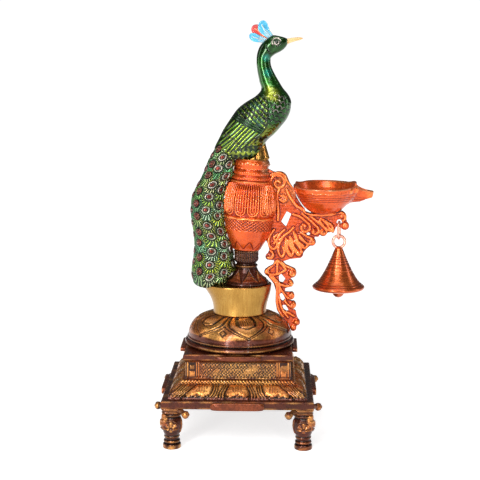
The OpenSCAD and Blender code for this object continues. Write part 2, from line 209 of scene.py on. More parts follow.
def tube(line, radius, sides, closed=False):
    """A round tube along a line (n, 3); radius is one number or one per point."""
    p = np.asarray(line, float)
    n = len(p)
    tan = np.roll(p, -1, 0) - np.roll(p, 1, 0)
    if not closed:
        tan[0], tan[-1] = p[1] - p[0], p[-1] - p[-2]
    tan /= np.maximum(np.linalg.norm(tan, axis=1, keepdims=True), 1e-9)
    side = np.cross(tan, [0.0, 1.0, 0.0])
    bad = np.linalg.norm(side, axis=1) < 0.2
    side[bad] = np.cross(tan[bad], [1.0, 0.0, 0.0])
    side /= np.linalg.norm(side, axis=1, keepdims=True)
    up = np.cross(side, tan)
    r = np.broadcast_to(np.asarray(radius, float), (n,))
    a = angles(sides)
    ring = side[None] * np.cos(a)[:, None, None] + up[None] * np.sin(a)[:, None, None]
    return p[None] + ring * r[None, :, None]


# ---------------------------------------------------------------- material helpers
def shader(name):
    mat = bpy.data.materials.new(name)
    mat.use_nodes = True
    nt = mat.node_tree
    nt.nodes.clear()
    bsdf = nt.nodes.new("ShaderNodeBsdfPrincipled")
    nt.links.new(bsdf.outputs[0], nt.nodes.new("ShaderNodeOutputMaterial").inputs[0])
    return mat, nt, bsdf


def node(nt, kind, inputs=None, **props):
    n = nt.nodes.new(kind)
    for k, v in props.items():
        setattr(n, k, v)
    for k, v in (inputs or {}).items():
        if isinstance(v, bpy.types.NodeSocket):
            nt.links.new(v, n.inputs[k])
        else:
            n.inputs[k].default_value = v
    return n


def attr(nt, name):
    return node(nt, "ShaderNodeAttribute", attribute_name=name).outputs["Fac"]


def noise(nt, scale, detail=4.0, rough=0.55, coords=None):
    if coords is None:
        coords = node(nt, "ShaderNodeTexCoord").outputs["Object"]
    sockets = {"Vector": coords, "Scale": scale, "Detail": detail, "Roughness": rough}
    return node(nt, "ShaderNodeTexNoise", sockets).outputs["Fac"]


def stretched_noise(nt, scale, detail):
    """Noise drawn out along the axes where the scale is low."""
    coords = node(nt, "ShaderNodeTexCoord").outputs["Object"]
    coords = node(nt, "ShaderNodeMapping", {"Vector": coords, "Scale": scale}).outputs[0]
    return noise(nt, 1.0, detail, coords=coords)


def maths(nt, op, a, b, clamp=False):
    return node(nt, "ShaderNodeMath", {0: a, 1: b}, operation=op, use_clamp=clamp).outputs[0]


def scaled(nt, value, by):
    """The product, held to 0..1."""
    return maths(nt, "MULTIPLY", value, by, clamp=True)


def weighted(nt, *parts):
    """Sum of value times share over (value, share) parts; a third entry is taken off the value first."""
    total = None
    for value, share, *offset in parts:
        value = maths(nt, "SUBTRACT", value, offset[0]) if offset else value
        term = maths(nt, "MULTIPLY", value, share)
        total = term if total is None else maths(nt, "ADD", total, term)
    return total


def remap(nt, value, lo, hi, out_lo=0.0, out_hi=1.0):
    return node(nt, "ShaderNodeMapRange", {"Value": value, "From Min": lo, "From Max": hi, "To Min": out_lo,
            "To Max": out_hi}).outputs[0]


def ramp(nt, value, stops):
    n = node(nt, "ShaderNodeValToRGB", {"Fac": value})
    el = n.color_ramp.elements
    while len(el) < len(stops):
        el.new(0.5)
    for e, (pos, col) in zip(el, stops):
        e.position = pos
        e.color = (*col, 1.0)
    return n.outputs["Color"]


def blend_colour(nt, fac, a, b):
    n = node(nt, "ShaderNodeMix", data_type="RGBA")
    for key, v in ((0, fac), (6, a), (7, b)):
        if isinstance(v, bpy.types.NodeSocket):
            nt.links.new(v, n.inputs[key])
        elif key == 0:
            n.inputs[0].default_value = v
        else:
            n.inputs[key].default_value = (*v, 1.0)
    return n.outputs[2]


def set_bump(nt, bsdf, height, strength, distance):
    b = node(nt, "ShaderNodeBump", {"Height": height, "Strength": strength, "Distance": distance})
    nt.links.new(b.outputs[0], bsdf.inputs["Normal"])


def set_inputs(nt, bsdf, **values):
    names = {"base": "Base Color", "metal": "Metallic", "rough": "Roughness", "coat": "Coat Weight",
             "coat_rough": "Coat Roughness", "spec": "Specular IOR Level"}
    for k, v in values.items():
        sock = bsdf.inputs[names[k]]
        if isinstance(v, bpy.types.NodeSocket):
            nt.links.new(v, sock)
        elif isinstance(v, tuple):
            sock.default_value = (*v, 1.0)
        else:
            sock.default_value = v


# ---------------------------------------------------------------- materials
def antique_material(name):
    """Dark brown lacquer, rubbed back to copper and gold. relief: 0 in the cuts to 1 on raised work."""
    mat, nt, bsdf = shader(name)
    rel, rub = attr(nt, "relief"), attr(nt, "rub")
    big, fine = noise(nt, 38.0, 3.0), noise(nt, 420.0, 5.0, 0.65)
    lift = weighted(nt, (rel, 0.55), (big, 0.5), (fine, 0.35, 0.5))
    base = ramp(nt, lift, [(0.14, (0.003, 0.002, 0.001)), (0.36, (0.022, 0.006, 0.003)),
            (0.58, (0.085, 0.016, 0.006)), (0.80, (0.24, 0.052, 0.014)), (1.0, (0.42, 0.12, 0.035))])
    wear = scaled(nt, rub, remap(nt, fine, 0.3, 0.62, 0.55, 1.25))
    warm = blend_colour(nt, remap(nt, big, 0.42, 0.62), (0.80, 0.38, 0.10), (0.60, 0.20, 0.05))
    col = blend_colour(nt, wear, base, warm)
    set_inputs(nt, bsdf, base=col, metal=remap(nt, wear, 0.0, 1.0, 0.55, 0.95),
               rough=remap(nt, fine, 0.3, 0.7, 0.20, 0.36), coat=0.22, coat_rough=0.06, spec=0.3)
    set_bump(nt, bsdf, weighted(nt, (noise(nt, 1500.0, 3.0), 0.4), (fine, 1.0)), 0.25, 0.0006)
    return mat


def copper_material(name, deep=(0.26, 0.016, 0.002), mid=(0.66, 0.085, 0.009), bright=(0.98, 0.33, 0.08)):
    """Glossy orange copper lacquer: red in the cuts, orange on the faces, paler on the ridges."""
    mat, nt, bsdf = shader(name)
    big, fine = noise(nt, 60.0, 3.0), noise(nt, 520.0, 5.0, 0.65)
    lift = weighted(nt, (attr(nt, "relief"), 0.6), (big, 0.4), (fine, 0.22, 0.5))
    base = ramp(nt, lift, [(0.10, (0.05, 0.006, 0.002)), (0.32, deep), (0.56, mid),
            (0.9, (0.86, 0.155, 0.020))])
    wear = scaled(nt, attr(nt, "rub"), remap(nt, fine, 0.25, 0.65, 0.35, 1.15))
    bare = scaled(nt, attr(nt, "bare"), remap(nt, big, 0.35, 0.55, 0.3, 1.0))
    col = blend_colour(nt, bare, blend_colour(nt, wear, base, bright), (0.40, 0.16, 0.06))
    set_inputs(nt, bsdf, base=col, metal=0.65, rough=remap(nt, fine, 0.3, 0.7, 0.22, 0.36), coat=0.45,
               coat_rough=0.06, spec=0.35)
    set_bump(nt, bsdf, fine, 0.22, 0.0005)
    return mat


def turned_copper_material(name):
    """Lathe-turned copper lacquer with fine circular tool marks about the piece's own Z axis."""
    mat, nt, bsdf = shader(name)
    rings = stretched_noise(nt, (14.0, 14.0, 2400.0), 3.0)
    big, fine = noise(nt, 45.0, 3.0), noise(nt, 700.0, 4.0)
    lift = weighted(nt, (attr(nt, "relief"), 0.55), (big, 0.32), (rings, 0.30, 0.5))
    col = ramp(nt, lift, [(0.10, (0.10, 0.010, 0.003)), (0.36, (0.44, 0.060, 0.010)),
            (0.62, (0.70, 0.150, 0.028)), (0.92, (0.88, 0.28, 0.07))])
    set_inputs(nt, bsdf, base=col, metal=0.85, rough=remap(nt, rings, 0.3, 0.7, 0.20, 0.34), coat=0.5,
               coat_rough=0.1)
    set_bump(nt, bsdf, weighted(nt, (rings, 1.0), (fine, 0.3)), 0.12, 0.0003)
    return mat


def brass_material(name):
    """Satin bare brass with soft vertical brushing and small pits, browned where rub is high: painted shade
    down the collar's right side, darker ends on the collar and darker grooves on the perch.
    """
    mat, nt, bsdf = shader(name)
    streak = stretched_noise(nt, (900.0, 900.0, 30.0), 4.0)
    big, fine = noise(nt, 55.0, 3.0), noise(nt, 600.0, 5.0, 0.7)
    base = ramp(nt, weighted(nt, (big, 0.6), (streak, 0.4)),
                [(0.25, (0.26, 0.125, 0.022)), (0.5, (0.42, 0.225, 0.050)), (0.8, (0.56, 0.33, 0.09))])
    spots = remap(nt, fine, 0.62, 0.74, 0.0, 0.6)
    col = blend_colour(nt, spots, base, (0.20, 0.10, 0.03))
    # brown where rub is high; on the collar this is painted shade down its right side
    col = blend_colour(nt, scaled(nt, attr(nt, "rub"), 0.7), col, (0.36, 0.10, 0.025))
    set_inputs(nt, bsdf, base=col, metal=1.0, rough=remap(nt, streak, 0.3, 0.7, 0.20, 0.34), coat=0.1,
               coat_rough=0.2)
    set_bump(nt, bsdf, weighted(nt, (streak, 0.6), (fine, 1.0)), 0.2, 0.0003)
    return mat


def green_material(name):
    """Transparent green lacquer over bright metal. relief: cut to raised; gild_and_highlight: yellow-green,
    with painted highlights on the body's scales and on the train's lit side;
    teal: blue-green patches; eye: red-brown feather eye, and painted shade on the eye rings of the train's
    shaded side; silver: the bare ring round it on the train's lit side, and painted highlights on the barbs
    there."""
    mat, nt, bsdf = shader(name)
    big, fine = noise(nt, 70.0, 3.0), noise(nt, 480.0, 5.0, 0.65)
    lift = weighted(nt, (attr(nt, "relief"), 0.62), (big, 0.38), (fine, 0.25, 0.5))
    base = ramp(nt, lift, [(0.14, (0.001, 0.003, 0.001)), (0.36, (0.004, 0.026, 0.003)),
            (0.56, (0.014, 0.105, 0.006)), (0.76, (0.05, 0.26, 0.012)), (1.0, (0.24, 0.50, 0.05))])
    gild_and_highlight = scaled(nt, attr(nt, "gild_and_highlight"), remap(nt, big, 0.3, 0.6, 0.5, 1.1))
    teal = scaled(nt, attr(nt, "teal"), remap(nt, big, 0.35, 0.6, 0.4, 1.0))
    col = blend_colour(nt, gild_and_highlight, base, (0.46, 0.46, 0.03))
    col = blend_colour(nt, teal, col, (0.01, 0.27, 0.20))
    col = blend_colour(nt, attr(nt, "silver"), col, (0.56, 0.47, 0.42))
    col = blend_colour(nt, attr(nt, "eye"), col, (0.16, 0.022, 0.014))
    set_inputs(nt, bsdf, base=col, metal=0.85, rough=remap(nt, fine, 0.3, 0.7, 0.16, 0.32), coat=0.55,
               coat_rough=0.05)
    set_bump(nt, bsdf, fine, 0.18, 0.0004)
    return mat


def crest_material(name, deep, mid, pale):
    """Opaque enamel brushed along the plume, with bare gilt on the quill and edge (rub)."""
    mat, nt, bsdf = shader(name)
    rub, fine = attr(nt, "rub"), noise(nt, 700.0, 4.0)
    lift = weighted(nt, (attr(nt, "relief"), 0.5), (noise(nt, 160.0, 3.0), 0.5))
    col = ramp(nt, lift, [(0.15, deep), (0.5, mid), (0.85, pale)])
    col = blend_colour(nt, rub, col, (0.70, 0.42, 0.14))
    set_inputs(nt, bsdf, base=col, metal=remap(nt, rub, 0.0, 1.0, 0.15, 0.9),
               rough=remap(nt, fine, 0.3, 0.7, 0.25, 0.45), coat=0.6, coat_rough=0.12)
    set_bump(nt, bsdf, fine, 0.15, 0.0003)
    return mat


def steel_material(name):
    mat, nt, bsdf = shader(name)
    big, fine = noise(nt, 90.0, 3.0), noise(nt, 500.0, 5.0)
    col = ramp(nt, big, [(0.3, (0.22, 0.20, 0.18)), (0.55, (0.45, 0.44, 0.42)), (0.8, (0.60, 0.59, 0.57))])
    rust = remap(nt, fine, 0.60, 0.70, 0.0, 0.7)
    col = blend_colour(nt, rust, col, (0.20, 0.07, 0.03))
    set_inputs(nt, bsdf, base=col, metal=0.95, rough=remap(nt, fine, 0.3, 0.7, 0.3, 0.5))
    set_bump(nt, bsdf, fine, 0.2, 0.0003)
    return mat


ANTIQUE = antique_material("antique_copper")
COPPER = copper_material("copper_lacquer")
TURNED = turned_copper_material("copper_turned")
BRASS = brass_material("satin_brass")
GREEN = green_material("green_lacquer")
BLUE = crest_material("crest_blue", (0.006, 0.08, 0.16), (0.03, 0.32, 0.52), (0.20, 0.62, 0.78))
RED = crest_material("crest_red", (0.10, 0.006, 0.006), (0.46, 0.014, 0.010), (0.66, 0.06, 0.03))
STEEL = steel_material("plain_steel")
ROSE = copper_material("rose_copper", (0.35, 0.06, 0.03), (0.80, 0.30, 0.20), (0.95, 0.62, 0.50))
BILL = crest_material("bill_straw", (0.45, 0.20, 0.05), (0.80, 0.52, 0.22), (0.95, 0.75, 0.45))


def keep(ob, body, slot, *nodes):
    """The piece rides on a body and stands for CAD nodes, which are hidden; slot is not used."""
    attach(ob, body)
    if nodes:
        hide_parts(*nodes)


def piece(name, p, masks, material, slot, *nodes, body="lamp", closed=False):
    """A mesh from a grid whose first direction goes round, capped at both ends unless closed, and kept."""
    masks = {key: np.clip(val, 0, 1) for key, val in masks.items()}
    keep(add_grid(name, p, True, closed, masks, material, () if closed else ("start", "end")), body, slot,
         *nodes)


# ---------------------------------------------------------------- plinth
def plinth_face(x, z, w):
    """Relief, rub and cut level of one side of the plinth at x along it, height z and half width w."""
    h = np.zeros_like(x)
    rub = np.zeros_like(x)
    rel = np.full_like(x, 0.52)
    # three lotus petals on the hipped skirt
    t = np.clip((z - 43.0) / 9.0, 0, 1)
    skirt = between(z, 42.6, 43.4, 51.9, 52.6) * (w > 46)
    flare = 1.0 + 0.34 * (1 - t)
    side = np.abs(np.abs(((x / flare + 42.0) % 28.0) - 14.0))
    half = 9.0 - 1.5 * (2 * t - 1.05) ** 2
    ring = np.abs(side - half)
    foot_line = 0.22 + 0.11 * np.cos(side / 8.6 * 2 * PI)
    inside = (side < half) & (t > foot_line)
    cuts = most(stroke(side - half, 1.05), stroke(side - half - 2.2, 0.8) * (t > 0.1),
                stroke(side - half - 4.1, 0.8) * (t > 0.1), stroke((t - foot_line) * 9.0, 0.9)
                * (side < half), stroke((t - 0.14) * 9.0 - 0.09 * side ** 2, 1.0) * (side < 3.6))
    hatch = stroke(((x + 700) % 2.2) - 1.1, 0.4) * inside * (t > 0.62) * (side < 4.2)
    cuts = np.maximum(cuts, 0.75 * hatch)
    crown = np.where(inside, 1 - (side / np.maximum(half, 1e-3)) ** 2, 0.45)
    edge = ease(52.0 + 6.4 * (1 - t) - np.abs(x), 0.4, 1.6)
    h += skirt * edge * (crown - 1.15 * cuts)
    rub = np.maximum(rub, skirt * edge * (0.35 + 0.75 * crown) * (1 - cuts) * ease(t, 0.10, 0.34))
    rel = np.where(skirt > 0.5, 0.62 - 0.62 * cuts, rel)
    # rope bead
    bead = between(z, 52.2, 52.9, 55.8, 56.4) * (w > 45)
    rope = 0.5 + 0.5 * np.sin(2 * PI * (x + 0.8 * (z - 54.3)) / 2.7)
    h += bead * (rope - 0.6) * 0.75
    rub = np.maximum(rub, bead * rope)
    rel = np.where(bead > 0.5, 0.25 + 0.7 * rope, rel)
    # hatched panel and corner pilasters on the neck
    neck = between(z, 57.2, 57.8, 70.4, 71.0) * (w > 43) * (w < 46)
    pitch = 2.9
    a = np.abs(((x + (z - 64)) / pitch + 50) % 1 - 0.5) * pitch
    b = np.abs(((x - (z - 64)) / pitch + 50) % 1 - 0.5) * pitch
    net = np.maximum(stroke(a, 0.40), stroke(b, 0.40))
    panel = neck * (1 - ease(np.abs(x), 31.6, 32.2))
    h += panel * (0.85 * net - 0.55)
    rub = np.maximum(rub, panel * ease(net, 0.35, 0.8) * (0.8 + 0.25 * wobble(points(x, z, w), 9.0, 1.0)))
    rel = np.where(panel > 0.5, 0.02 + 0.85 * net, rel)
    posts = most(stroke(np.abs(x) - 33.2, 0.8), stroke(np.abs(x) - 35.0, 0.55),
                 stroke(np.abs(x) - 42.6, 0.9)) * neck
    box = (np.maximum(np.abs(np.abs(x) - 38.8) / 2.3, np.abs(z - 61.0) / 2.2) < 1) * neck
    boss = (np.maximum(np.abs(np.abs(x) - 38.8) / 1.8, np.abs(z - 67.0) / 1.5) < 1) * neck
    h += 0.7 * posts + 0.5 * box + 0.4 * boss
    rub = np.maximum(rub, most(0.8 * posts, 0.75 * box, 0.4 * boss))
    rel = np.where((neck > 0.5) & (np.abs(x) > 32), 0.22 + 0.7 * np.maximum(posts, 0.8 * box), rel)
    # thin rules above and below the neck, on the slab and top slab edges
    for level, lo in ((57.0, 43), (71.3, 43), (73.3, 45), (77.5, 45), (41.8, 61), (36.0, 61)):
        rule = stroke(z - level, 0.7) * (w > lo)
        rub = np.maximum(rub, 0.45 * rule * (0.5 + 0.5 * np.sin(x * 0.35 + level)))
    return h, np.clip(rub, 0, 1), np.clip(rel, 0, 1)


def make_plinth():
    side = profile([(39.6, 73.5), (39.6, 57), (43, 48), (46.5, 44.5), (46.5, 35.5), (63.4, 35.5),
                    (64, 36.1), (64, 41.4), (63.2, 42.3), (58.6, 42.5), (57.6, 45.2), (54.8, 48.8),
                    (51.2, 51.2), (47.4, 52.4), (48.2, 53.2), (48.4, 54.4), (47.8, 55.6), (46.2, 56.3),
                    (44.2, 56.8), (44, 58), (44, 70.6), (44.6, 71.8), (46.2, 73.2), (46.4, 76.9),
                    (45.6, 77.8), (0.01, 77.8)], 150)
    start = profile([(0.01, 73.5), (39.6, 73.5)], 6)[:-1]
    side = np.vstack([start, side])
    verts, faces, masks = [], [], {"relief": [], "rub": []}
    a = np.linspace(-1, 1, 221)
    for k in range(4):
        u, w = np.meshgrid(a, side[:, 0], indexing="ij")
        z = np.broadcast_to(side[:, 1], u.shape)
        p = points(u * w, -w, z)
        n = grid_normals(p, False, False)
        outer = np.broadcast_to(np.arange(len(side)) > 20, u.shape)
        h, rub, rel = plinth_face(u * w, z, w)
        h, rub = h * outer, rub * outer
        wear = 0.35 * (wobble(p, 7.0, k) > 0.72)
        p = p + n * h[..., None]
        p = swing(p, k * PI / 2)
        faces += grid_faces(len(a), len(side), False, False, start=len(verts) * p.shape[0] * p.shape[1])
        verts.append(p.reshape(-1, 3))
        masks["relief"].append(rel.ravel())
        masks["rub"].append(np.maximum(rub, wear * outer).ravel())
    ob = add_mesh("plinth_casting", np.vstack(verts), faces,
                  {k: np.concatenate(v) for k, v in masks.items()}, ANTIQUE)
    weld = ob.modifiers.new("weld", "WELD")
    weld.merge_threshold = 0.02 * MM
    keep(ob, "lamp", "antique_copper", "plinth")
    for k in range(4):
        for r, half, z0, z1, out in ((64, 22.4, 35.4, 41.9, 67.4), (46, 19.6, 73.4, 77.3, 50.8)):
            soft_block("plinth_tab_%d_%d" % (k, r), half, r - 3, out, z0, z1, k)


def soft_block(name, half, near, far, z0, z1, quarter):
    """A cast tab with rounded edges on one side of the plinth."""
    n = 28
    across, up = squared(angles(n), 0.32)
    across, up = across * half, up * (z1 - z0) / 2
    depth = [(near, 1.0), (far - 1.0, 1.0), (far - 0.35, 0.985), (far, 0.955), (far, 0.6), (far, 0.02)]
    p = np.stack([points(across * (1 - (1 - s) * 0.25 if s > 0.9 else s), -d, (z0 + z1) / 2 + up * s) for d,
                  s in depth], axis=1)
    edge = np.zeros((n, len(depth)))
    edge[:, 2] = 0.55
    piece(name, swing(p, quarter * PI / 2), {"relief": np.full_like(edge, 0.78), "rub": edge}, ANTIQUE,
          "antique_copper")


# ---------------------------------------------------------------- legs
LEG_AT = 55.5
KNOB_R = 3.4


def make_leg(name, sx, sy):
    cx, cy = LEG_AT * sx, LEG_AT * sy
    side = profile([(7.3, 0), (7.6, 0.4), (7.6, 3.2), (7.2, 4.0), (6.3, 4.5), (6.8, 5.4), (7.1, 6.3),
                    (6.7, 7.2), (6.0, 7.8), (6.0, 8.8), (6.6, 9.6), (6.8, 10.4), (6.3, 11.3), (6.6, 12.4),
                    (7.5, 14.6), (8.5, 18.0), (8.9, 21.0), (8.7, 24.0), (7.9, 26.4), (7.2, 27.6),
                    (7.9, 28.4), (8.2, 29.2), (7.6, 30.1), (8.3, 30.8), (8.4, 31.6), (7.4, 32.2)], 110)
    faces_at = [math.atan2(sy, 0), math.atan2(0, sx)]
    corner = math.atan2(sy, sx)

    def lift(t, r, h):
        out = np.zeros_like(r)
        for f in faces_at:
            d = (t - f + PI) % TAU - PI
            x, z = d * r, h - 18.4
            rad = np.hypot(x, z)
            fan = between(rad, 0.8, 1.8, 5.4, 6.4) * (z > -0.6)
            ribs = 0.5 + 0.5 * np.cos(np.arctan2(x, z) * 7.0)
            out += fan * (0.5 + 0.9 * ribs)
            out += 1.0 * bump(np.hypot(x, (h - 16.6)), 1.7)
            out += 0.6 * stroke(rad - 6.9, 0.9) * (z > -1.5)
        d = (t - corner + PI) % TAU - PI
        leaf = np.hypot(d * r / 3.4, (h - 25.8) / 5.6)
        out += 2.6 * bump(leaf, 1.0) + 0.5 * bump(leaf, 1.0) * np.sin(h * 2.6)
        d = (t - corner) % TAU - PI
        strip = np.abs(np.abs(d) - 1.15) * r
        out += 0.9 * stroke(strip - 0.2, 1.5) * between(h, 12.5, 15, 25.5, 27.5)
        return out + 0.10 * wobble(points(t * 8, h, r), 1.6, sx + 2 * sy)

    p, t, r, hgt, rel = revolve(side, 132, lift, (cx, cy, 0))
    raised = ease(rel, 0.35, 1.3)
    foot = stroke(hgt - 1.6, 2.4) * 0.95
    ring = strokes(hgt, (6.3, 0.9), (10.3, 0.9), (29.3, 0.8)) * 0.6
    rub = np.clip(most(0.7 * raised, foot, 0.7 * ring) * (0.55 + 0.6 * wobble(p, 3.0, 3.0)), 0, 1)
    cut = strokes(hgt, (4.5, 0.7), (7.9, 0.8), (11.4, 0.8), (27.5, 0.9), (30.2, 0.6))
    level = np.clip(0.45 + 0.4 * raised - 0.45 * cut + 0.1 * (rel - rel.mean()), 0, 1)
    piece(name, p, {"relief": level, "rub": rub}, ANTIQUE, "antique_copper", name.replace("_turned", ""))
    # square cap under the slab, and the two scroll knobs on their stalks
    n = 40
    east, north = squared(angles(n), 0.42)
    lev = [(30.6, 6.4), (31.2, 7.8), (31.9, 8.3), (32.6, 8.0), (33.2, 7.6), (33.8, 8.2), (34.6, 8.7),
           (35.6, 8.7)]
    q = np.stack([points(cx + east * w, cy + north * w, z) for z, w in lev], axis=1)
    band = np.broadcast_to(np.array([0.1, 0.5, 0.7, 0.3, 0.05, 0.5, 0.6, 0.4]), (n, 8))
    piece(name + "_cap", q, {"relief": 0.25 + 0.5 * band,
            "rub": 0.75 * band * (0.7 + 0.5 * wobble(q, 3, 1))}, ANTIQUE, "antique_copper")
    for i, (kx, ky) in enumerate(((-sx * 12.6, sy * 12.7), (sx * 12.7, -sy * 12.6))):
        end = np.array([cx + kx, cy + ky, 32.3])
        start = np.array([cx + kx * 0.42, cy + ky * 0.42, 33.4])
        mid = (start + end) / 2 + np.array([0, 0, 0.9])
        line = path([start, mid, end + np.array([0, 0, 0.4])], 14)
        q = tube(line, np.linspace(2.6, 2.0, 14), 14)
        piece(name + "_stalk_%d" % i, q, {"relief": np.full((14, 14), 0.4), "rub": np.full((14, 14), 0.1)},
              ANTIQUE, "antique_copper")
        ph = np.linspace(-PI / 2 + 0.02, PI / 2 - 0.02, 26)
        ball = KNOB_R * points(np.cos(ph), np.sin(ph))

        def knob(t, r, h):
            return 0.18 * np.sin(3 * t + i) * (r / 3) - 0.35 * stroke(np.hypot(r * np.sin(t), h) - 1.7, 0.7)

        q, t, r, h, rel = revolve(ball, 40, knob, end)
        piece(name + "_knob_%d" % i, q, {"relief": 0.6 + rel, "rub": 0.25 + 0.5 * wobble(q, 2.4, i)},
              ANTIQUE, "antique_copper")


# ---------------------------------------------------------------- lotus dome, collar, stem
def make_dome():
    arc = [(22 + 23.0 * math.cos(a), 85.4 + 19.4 * math.sin(a)) for a in np.radians(np.linspace(4, 90, 40))]
    side = profile([(40, 77.9), (44.6, 77.9), (46.8, 78.5), (47.9, 79.5), (48.1, 80.6), (47.5, 81.8),
                    (46.0, 82.6), (44.6, 83.0), (45.2, 83.6), (46.0, 84.3), (45.9, 85.0), (45.2, 85.7)]
                    + arc + [(0.3, 105.0)], 150)
    petals = 6
    turn = math.radians(-90 + 12)

    def fields(t, r, h):
        s = np.clip((h - 86.0) / 18.4, 0, 1)
        s = np.where(r < 24, 1.0, s)
        q = (((t - turn) * petals / TAU + 0.5) % 1.0 - 0.5) * 2.0
        on = ease(h, 85.8, 86.6) * ease(r, 22.6, 23.6)
        wide = r * PI / petals
        outer = curve(s, [(0.26, -0.02), (0.285, 0.0), (0.34, 0.07), (0.40, 0.19), (0.54, 0.43),
                          (0.66, 0.65), (0.76, 0.80), (0.84, 0.86), (0.93, 0.89), (1.0, 0.90)])
        second = curve(s, [(0.18, -0.02), (0.20, 0.0), (0.27, 0.07), (0.34, 0.22), (0.48, 0.50),
                (0.60, 0.74), (0.70, 0.92), (0.78, 1.02), (1.0, 1.2)])
        shield = curve(s, [(0.62, -0.02), (0.655, 0.0), (0.69, 0.08), (0.73, 0.24), (0.77, 0.36),
                (0.84, 0.42), (0.90, 0.46), (1.0, 0.5)])
        d1, d2, d3 = (np.abs(q) - outer) * wide, (np.abs(q) - second) * wide, (np.abs(q) - shield) * wide
        steep = 0.75
        cuts = most(stroke(d1 * steep, 1.35) * (s > 0.27), stroke(d2 * steep, 1.0) * (s > 0.19),
                    stroke(d3 * steep, 1.9) * (s > 0.64))
        lines = stroke((np.abs(q * wide) % 1.9) - 0.95,
                       0.5) * (np.abs(q) < shield * 0.72) * (s > 0.78) * (s < 0.96)
        rays = np.abs(np.abs(q) - 1.0) * wide / 2.9 + np.abs(s - 0.48) * 22 / 3.1
        gem = rays < 1
        gem_line = stroke((rays - 1.0) * 2.6, 1.0)
        cuts = most(cuts * (rays > 1), 0.85 * lines, gem_line)
        return s, q, on, cuts, gem

    def lift(t, r, h):
        s, q, on, cuts, gem = fields(t, r, h)
        body = 0.55 * np.cos(np.clip(q, -1, 1) * PI / 2) * np.sin(np.clip(s, 0, 1) * PI)
        grain = wobble(points(r * np.cos(t), r * np.sin(t), h), 4.0, 1)
        return on * (body - cuts + 0.35 * gem) + 0.05 * grain

    p, t, r, h, relief = revolve(side, 600, lift)
    s, q, on, cuts, gem = fields(t, r, h)
    face = np.clip(1 - cuts, 0, 1) * on
    patch = 0.55 + 0.75 * wobble(p, 12.0, 2.6)
    scallop = 0.10 + 0.10 * np.abs(np.cos(q * PI / 2))
    rub = face * ease(s - scallop, 0.0, 0.10) * patch
    rings = np.maximum(stroke(h - 80.4, 1.1),
            stroke(h - 84.4, 0.8)) * (h < 86) * 0.30 * (1 + wobble(p, 12.0, 5.0))
    rel = np.where(on > 0.5, 0.62 - 0.62 * cuts, np.where(np.abs(h - 83.0) < 0.5, 0.1, 0.55))
    piece("lotus_dome_casting", p, {"relief": rel, "rub": np.maximum(rub, rings)}, ANTIQUE,
          "antique_copper", "lotus_dome")


def make_collar():
    th = angles(160)
    z = np.concatenate([[105.02, 105.05], np.linspace(105.3, 130.2, 46), [130.6, 130.9, 131.0, 131.0, 131.0,
            131.0]])
    trim = np.concatenate([[0.965, 0.99], np.ones(46), [0.995, 0.985, 0.965, 0.8, 0.4, 0.02]])
    cx = curve(z, [(105, 0.3), (112, 0.4), (119, 0.2), (125, -0.8), (131, -2.4)])
    a = curve(z, [(105, 23.3), (108, 23.2), (112, 23.6), (119, 25.6), (125, 28.2), (131, 30.6)]) * trim
    b = curve(z, [(105, 23), (112, 23), (119, 23.4), (125, 24.2), (131, 25.0)]) * trim
    p = points(cx + a * np.cos(th)[:, None], b * np.sin(th)[:, None], z)
    p = p + 0.12 * wobble(p, 9.0, 4.0)[..., None] * np.array([1, 1, 0]) * (p[..., 2:] < 130.5)
    # painted shade: the brass is browned down the collar's right side; the mask also darkens the foot and
    # patches along the top edge
    right_shade_and_dark_ends = (ease(np.cos(th), 0.72, 0.98)[:, None] * (0.8 + 0.3 * wobble(p, 8, 2))
             + 0.4 * ease(-z, -107.0, -105.2)[None]
             + 0.75 * (ease(z, 129.4, 130.6)[None] * ease(wobble(p, 2.6, 6), -0.5, 0.4)))
    piece("brass_collar_turned", p, {"rub": right_shade_and_dark_ends}, BRASS, "brass", "brass_collar")


def make_stem():
    side = profile([(2, 131.02), (18.9, 131.02), (19.6, 131.5), (19.5, 133.0), (18.2, 134.0), (16.6, 134.9),
                    (14.6, 136.2), (12.6, 138.8), (10.9, 141.4), (9.8, 144.0), (9.2, 145.6), (9.9, 146.4),
                    (9.9, 147.4), (8.7, 148.2), (8.5, 149.2), (9.3, 150.0), (10.1, 150.8), (10.3, 151.6),
                    (10.3, 158.6), (10.6, 159.2), (10.6, 160.2), (10.0, 161.0), (3, 161.0)], 120)

    def fields(t, r, h):
        tri = ((t * 7 / TAU) % 1 - 0.5) * 2
        up = np.clip((h - 134.2) / 9.4, 0, 1)
        wide = r * PI / 7
        edge = (np.abs(tri) - (1 - up)) * wide
        inner = (np.abs(tri) - (0.62 - up)) * wide
        foot = between(h, 134.0, 134.5, 143.6, 144.2)
        ribs = np.cos(t * 34)
        band = between(h, 151.4, 151.9, 158.2, 158.8)
        rows = stroke(h - 155.0, 0.6)
        return foot, edge, inner, ribs, band, rows

    def lift(t, r, h):
        foot, edge, inner, ribs, band, rows = fields(t, r, h)
        out = foot * (0.45 * (edge < 0) - 0.6 * stroke(edge, 0.7) + 0.35 * (inner < 0))
        beads = 0.35 * np.cos(t * 34) * stroke(h - 159.7, 0.8)
        return out + band * (0.32 * ribs - 0.35 * rows) + beads

    p, t, r, h, rel = revolve(side, 306, lift, (6, 0, 0))
    foot, edge, inner, ribs, band, rows = fields(t, r, h)
    rub = most(foot * (edge < -0.2) * (inner > 0.2) * 0.42, stroke(h - 147.0, 0.8) * 0.45,
               band * ease(ribs, 0.2, 1) * 0.16, stroke(h - 159.7, 0.7) * 0.2)
    rub = rub * (0.5 + 0.6 * wobble(p, 6.0, 2.5))
    level = np.clip(0.26 + 0.5 * rel + 0.12 * foot, 0, 1)
    piece("stem_turned", p, {"relief": level, "rub": rub}, ANTIQUE, "antique_copper", "stem")


# ---------------------------------------------------------------- vase and perch
VASE_FOOT = (5.7, 0, 161)
VASE_LEAN = math.radians(4)
VASE_PETALS = 13
VASE_TURN = math.radians(-90 + 9.2)


